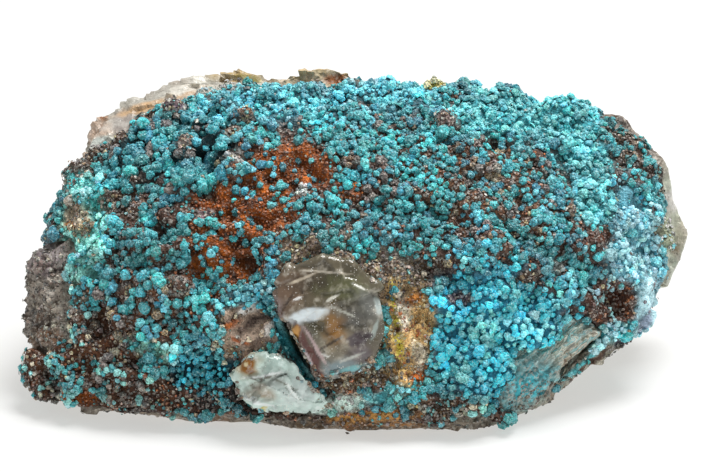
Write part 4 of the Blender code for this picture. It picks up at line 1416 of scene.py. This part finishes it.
def crystal_look(name, veil_scale, veil_colour, roughness, depth_colour, density):
    """Clear quartz with veils; the fourth value of its colour says how clear each place is.

    The density says how much of what isn't the depth colour a metre of the crystal takes from the light."""
    look, tree, shader = material(name)
    inside_light = tree.nodes.new("ShaderNodeVolumeAbsorption")
    inside_light.inputs["Color"].default_value = (*linear(depth_colour), 1.0)
    inside_light.inputs["Density"].default_value = density
    tree.links.new(inside_light.outputs["Volume"], tree.nodes["Material Output"].inputs["Volume"])
    veils = value_texture(tree, "noise", veil_scale, 6.0)
    tint_values = point_value(tree, "tint")
    veil = spread(tree, veils.outputs["Fac"], 0.0, 0.6, 0.54, 0.7)
    flecks = value_texture(tree, "cells", 4.5)
    swarms = value_texture(tree, "noise", 0.5, 3.0)
    fleck = spread(tree, chances(tree, flecks)["Red"], 0.0, 1.0, 0.55, 0.65)
    fleck = times(tree, fleck, spread(tree, swarms.outputs["Fac"], 0.0, 1.0, 0.5, 0.6))
    fleck = times(tree, fleck, spread(tree, flecks.outputs["Distance"], 1.0, 0.0, 0.2, 0.4))
    veiled = blend_colour(tree, veil, tint_values["Color"], veil_colour)
    tree.links.new(blend_colour(tree, fleck, veiled, FLECK), shader.inputs["Base Color"])
    clear = times(tree, tint_values["Alpha"], spread(tree, veils.outputs["Fac"], 1.0, 0.3, 0.5, 0.68))
    clear = times(tree, clear, spread(tree, fleck, 1.0, 0.0))
    tree.links.new(clear, shader.inputs["Transmission Weight"])
    shader.inputs["IOR"].default_value = QUARTZ_IOR
    shader.inputs["Roughness"].default_value = roughness
    bump(tree, shader, veils.outputs["Fac"], 0.25, 0.5)
    return look


print("index of refraction", QUARTZ_IOR)

# %% Marks on the smoky crystal
SMOKY_CLOUDS = {
    "brown corner": (-8.0, 13.7, 2.6, 1.8, 30, (166, 136, 112), 0.4),
    "dark top": (-4.0, 14.6, 2.8, 1.1, 0, (84, 72, 58), 0.5),
    "olive top": (-1.0, 13.8, 2.6, 1.5, 0, (138, 140, 96), 0.5),
    "grey corner": (1.6, 12.0, 1.6, 1.8, 0, (160, 162, 156), 0.4),
    "olive middle": (-3.4, 9.4, 1.6, 1.8, 0, (88, 86, 50), 0.5),
    "dark middle": (-1.0, 11.8, 1.8, 0.8, -20, (96, 92, 76), 0.5),
    "grey middle": (-0.2, 10.2, 1.3, 0.9, 0, (112, 110, 102), 0.5),
    "pale foot": (-1.8, 7.2, 2.6, 1.4, 0, (184, 176, 154), 0.3),
    "violet foot": (0.6, 6.4, 1.2, 1.2, 0, (132, 118, 122), 0.4),
    "amber stain": (-2.4, 9.4, 1.1, 2.0, 10, (176, 124, 52), 0.2),
    "blue grey foot": (-2.4, 4.6, 2.4, 1.0, 8, (150, 172, 178), 0.2),
    "lilac side": (-9.0, 11.4, 2.4, 0.7, -62, (158, 140, 140), 0.2),
}
# The painted glint is a painted reflection off one broken face of the crystal.
SMOKY_MARKS = {
    "painted glint": (-5.4, 11.0, 2.5, 0.75, 16, (230, 240, 244), 0.0),
    "crack tail": (-7.2, 10.0, 1.2, 0.3, -40, (222, 228, 230), 0.0),
    "right veil": (2.6, 12.2, 0.55, 1.2, 8, (206, 218, 214), 0.1),
    "right veil low": (2.2, 9.2, 0.3, 1.3, -18, (184, 196, 188), 0.2),
    "top veil": (-6.2, 15.2, 1.8, 0.18, 22, (206, 192, 170), 0.1),
    "red strip": (-5.5, 6.6, 3.6, 0.85, -62, (96, 46, 36), 0.1),
    "red strip shadow": (-4.9, 7.6, 2.2, 0.3, -66, (60, 34, 28), 0.1),
    "amber crystal": (-7.3, 8.4, 0.6, 1.2, -15, (220, 160, 76), 0.1),
    "amber edge": (-7.8, 8.6, 0.15, 1.1, -15, (240, 226, 190), 0.0),
    "pink veil": (-4.5, 7.0, 2.6, 0.26, -60, (196, 172, 170), 0.0),
    "pink veil low": (-5.4, 5.6, 1.8, 0.2, -66, (204, 186, 188), 0.0),
    "lilac end": (-5.6, 3.8, 1.4, 0.5, -50, (184, 170, 182), 0.1),
    "orange spot": (-4.0, 3.4, 0.6, 0.6, 0, (158, 88, 40), 0.1),
    "cyan specks": (-0.6, 4.6, 1.8, 0.35, 20, (120, 186, 190), 0.0),
    "white fleck": (-6.6, 12.9, 0.5, 0.15, 20, (240, 240, 238), 0.0),
    "white fleck top": (-2.6, 13.0, 1.1, 0.18, 30, (216, 214, 200), 0.0),
    "white fleck low": (-3.4, 6.2, 0.6, 0.15, -20, (236, 236, 230), 0.0),
    "white fleck right": (0.8, 8.6, 0.5, 0.15, 40, (236, 234, 226), 0.0),
    "white fleck corner": (0.4, 14.2, 0.8, 0.18, -30, (220, 220, 210), 0.0),
    "violet shade": (0.4, 8.2, 1.4, 0.8, 20, (92, 80, 84), 0.2),
    "top edge": (-3.4, 16.0, 3.0, 0.13, -4, (212, 202, 184), 0.1),
    "brown line": (-7.8, 12.4, 1.5, 0.2, 62, (92, 72, 58), 0.1),
    "grey line": (-1.4, 11.4, 2.0, 0.16, -24, (190, 190, 178), 0.0),
    "brown line low": (-2.6, 7.8, 1.5, 0.18, 30, (96, 82, 66), 0.1),
    "grey line low": (-0.4, 6.0, 1.4, 0.18, 24, (196, 198, 190), 0.0),
}
print(len(SMOKY_CLOUDS), "clouds and", len(SMOKY_MARKS), "sharp marks")

# %% Smoky crystal
SMOKY_STEPS = ((-5.4, 11.2, 18, 0.12, 0.5), (-7.8, 9.6, -62, 0.12, 0.6), (0.6, 9.0, 75, 0.15, -0.35))
smoky_mesh = crystal_piece(
    "smoky_quartz",
    base=((136, 126, 104), 0.5),
    marks=(SMOKY_CLOUDS, SMOKY_MARKS),
    impact=(-6.0, 6.0, 15.0),
    ripple=0.07,
    ripple_length=2.4,
    steps=SMOKY_STEPS,
    cell=2.7,
)
smoky_look = crystal_look("smoky_quartz", 0.9, (212, 206, 192), 0.06, (222, 204, 168), 50)
smoky = finish_piece("smoky_crystal", smoky_mesh, smoky_look)
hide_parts("smoky_quartz")

# %% [markdown]
# ## The white crystal
#
# Below it sits a piece of icy quartz, nearly colourless, with the curved ripples of a fresh break. The same
# recipe serves, with stronger ripples, a whiter body and less absorption.

# %% White crystal
WHITE_CLOUDS = {
    "mint facet": (-9.5, 5.2, 1.8, 1.1, -20, (220, 248, 238), 0.4),
    "amber halo": (-12.5, 4.8, 1.3, 1.2, 0, (190, 162, 112), 0.3),
    "grey facet": (-11.6, 2.2, 1.5, 1.0, 25, (164, 152, 132), 0.4),
    "tan chip": (-10.2, 1.2, 0.9, 0.6, -20, (176, 150, 114), 0.2),
    "grey middle": (-9.0, 3.2, 1.0, 0.7, 0, (176, 186, 176), 0.5),
    "icy ripples": (-7.1, 1.4, 2.2, 1.8, -30, (238, 252, 248), 0.3),
}
WHITE_MARKS = {
    "amber eye": (-12.5, 4.8, 0.8, 0.8, 0, (160, 104, 36), 0.1),
    "amber glint": (-12.7, 5.1, 0.25, 0.2, 0, (240, 220, 170), 0.0),
    "crack": (-10.4, 3.7, 2.8, 0.12, 8, (92, 92, 80), 0.0),
    "crack edge": (-10.4, 3.95, 2.8, 0.12, 8, (246, 252, 250), 0.0),
    "second crack": (-8.4, 3.0, 2.0, 0.1, -25, (110, 116, 104), 0.0),
    "yellow spot": (-10.9, -0.4, 0.5, 0.3, 0, (206, 190, 70), 0.0),
    "white edge": (-9.0, 6.3, 2.2, 0.25, -20, (246, 252, 250), 0.0),
    "white edge low": (-11.0, 0.2, 2.0, 0.2, -20, (240, 248, 246), 0.0),
    "ripple shade": (-7.6, 1.9, 1.5, 0.08, -52, (140, 152, 142), 0.0),
    "second ripple shade": (-6.6, 1.5, 1.4, 0.08, -56, (146, 160, 150), 0.0),
    "ripple light": (-7.3, 2.1, 1.4, 0.18, -52, (244, 252, 248), 0.0),
    "third crack": (-12.0, 2.9, 1.4, 0.08, 30, (116, 110, 94), 0.0),
}
WHITE_STEPS = ((-10.4, 3.7, 8, 0.08, 0.5), (-8.4, 3.0, -25, 0.08, 0.4))
white_mesh = crystal_piece(
    "white_quartz",
    base=((230, 255, 246), 0.22),
    marks=(WHITE_CLOUDS, WHITE_MARKS),
    impact=(-9.5, 4.5, 15.0),
    ripple=0.09,
    ripple_length=1.1,
    steps=WHITE_STEPS,
    cell=1.6,
)
white_look = crystal_look("white_quartz", 1.1, (240, 246, 244), 0.1, (232, 250, 246), 20)
white = finish_piece("white_crystal", white_mesh, white_look)
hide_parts("white_quartz")

# %% [markdown]
# ## Grit on the quartz
#
# The bare quartz isn't clean either. Brown and white grit clings to its rough left side and to its foot, and
# crumbs of crust run up on to the edges of both crystals, so that they look grown in rather than set in. The
# grains are the ones used before, on points of the rock and of the crystals.

# %% Grit
GRIT_COLOURS = [(150, 130, 112), (112, 94, 80), (196, 182, 164)]
GRIT_COLOURS += [(130, 106, 88), (166, 156, 140), (84, 68, 58)]
RIM_COLOURS = [(214, 206, 188), (170, 200, 198), (150, 118, 90)]
RIM_COLOURS += [(112, 78, 56), (196, 160, 120), (90, 170, 172)]
RIM_REACH = 1.5
SMOKY_CRUMBS = 0.4
WHITE_CRUMBS = 0.1


def scattered(name, points, facing, chance, spacing, smallest, largest, colours, slot):
    """Grains on some of the points, chosen by chance and kept apart by their spacing."""
    order = chooser.permutation(len(points))
    wanted = order[chooser.random(len(order)) < chance[order]]
    places = take_places(wanted, points, np.full(len(points), spacing))
    picked = linear(colours)[chooser.integers(0, len(colours), len(places))]
    sizes = smallest + (largest - smallest) * chooser.random(len(places)) ** 2
    sunk = points[places] - facing[places] * (0.35 * sizes * MM)[:, None]
    # Painted shade: each grain's foot is painted at two fifths of its colour.
    grain_rows = (sunk, facing[places], sizes, varied(picked), picked * 0.4)
    piece_of_copies(name, slot, grain_shapes, *grain_rows, np.full(len(places), GRAIN_SPECKLE))


rock_points, rock_facing = points_of(rock_mesh)
uncovered = (rock_face[:, 0] < -33) | (rock_face[:, 1] < 3)
off_floor = rock_points[:, 2] > 0.4 * MM
gritty = np.clip(0.8 * rough_side + 0.25, 0, 0.8) * uncovered * (1 - 0.8 * glassy) * off_floor
scattered("rock_grit", rock_points, rock_facing, gritty, 0.36, 0.12, 0.4, GRIT_COLOURS, "matrix_quartz")
edge_points, edge_facing, edge_chance = [], [], []
for mesh, share in ((smoky_mesh, SMOKY_CRUMBS), (white_mesh, WHITE_CRUMBS)):
    points, facing = points_of(mesh)
    gaps = [crust_tree.find_nearest(Vector(point), RIM_REACH * MM)[3] for point in points]
    near = np.array([gap is not None for gap in gaps]) & (facing @ TOWARD > 0.1)
    edge_points.append(points[near])
    edge_facing.append(facing[near])
    edge_chance.append(np.full(int(near.sum()), share))
edge_points, edge_facing = np.concatenate(edge_points), np.concatenate(edge_facing)
chance = np.concatenate(edge_chance)
scattered("rim_crumbs", edge_points, edge_facing, chance, 0.32, 0.14, 0.55, RIM_COLOURS, "chrysocolla")
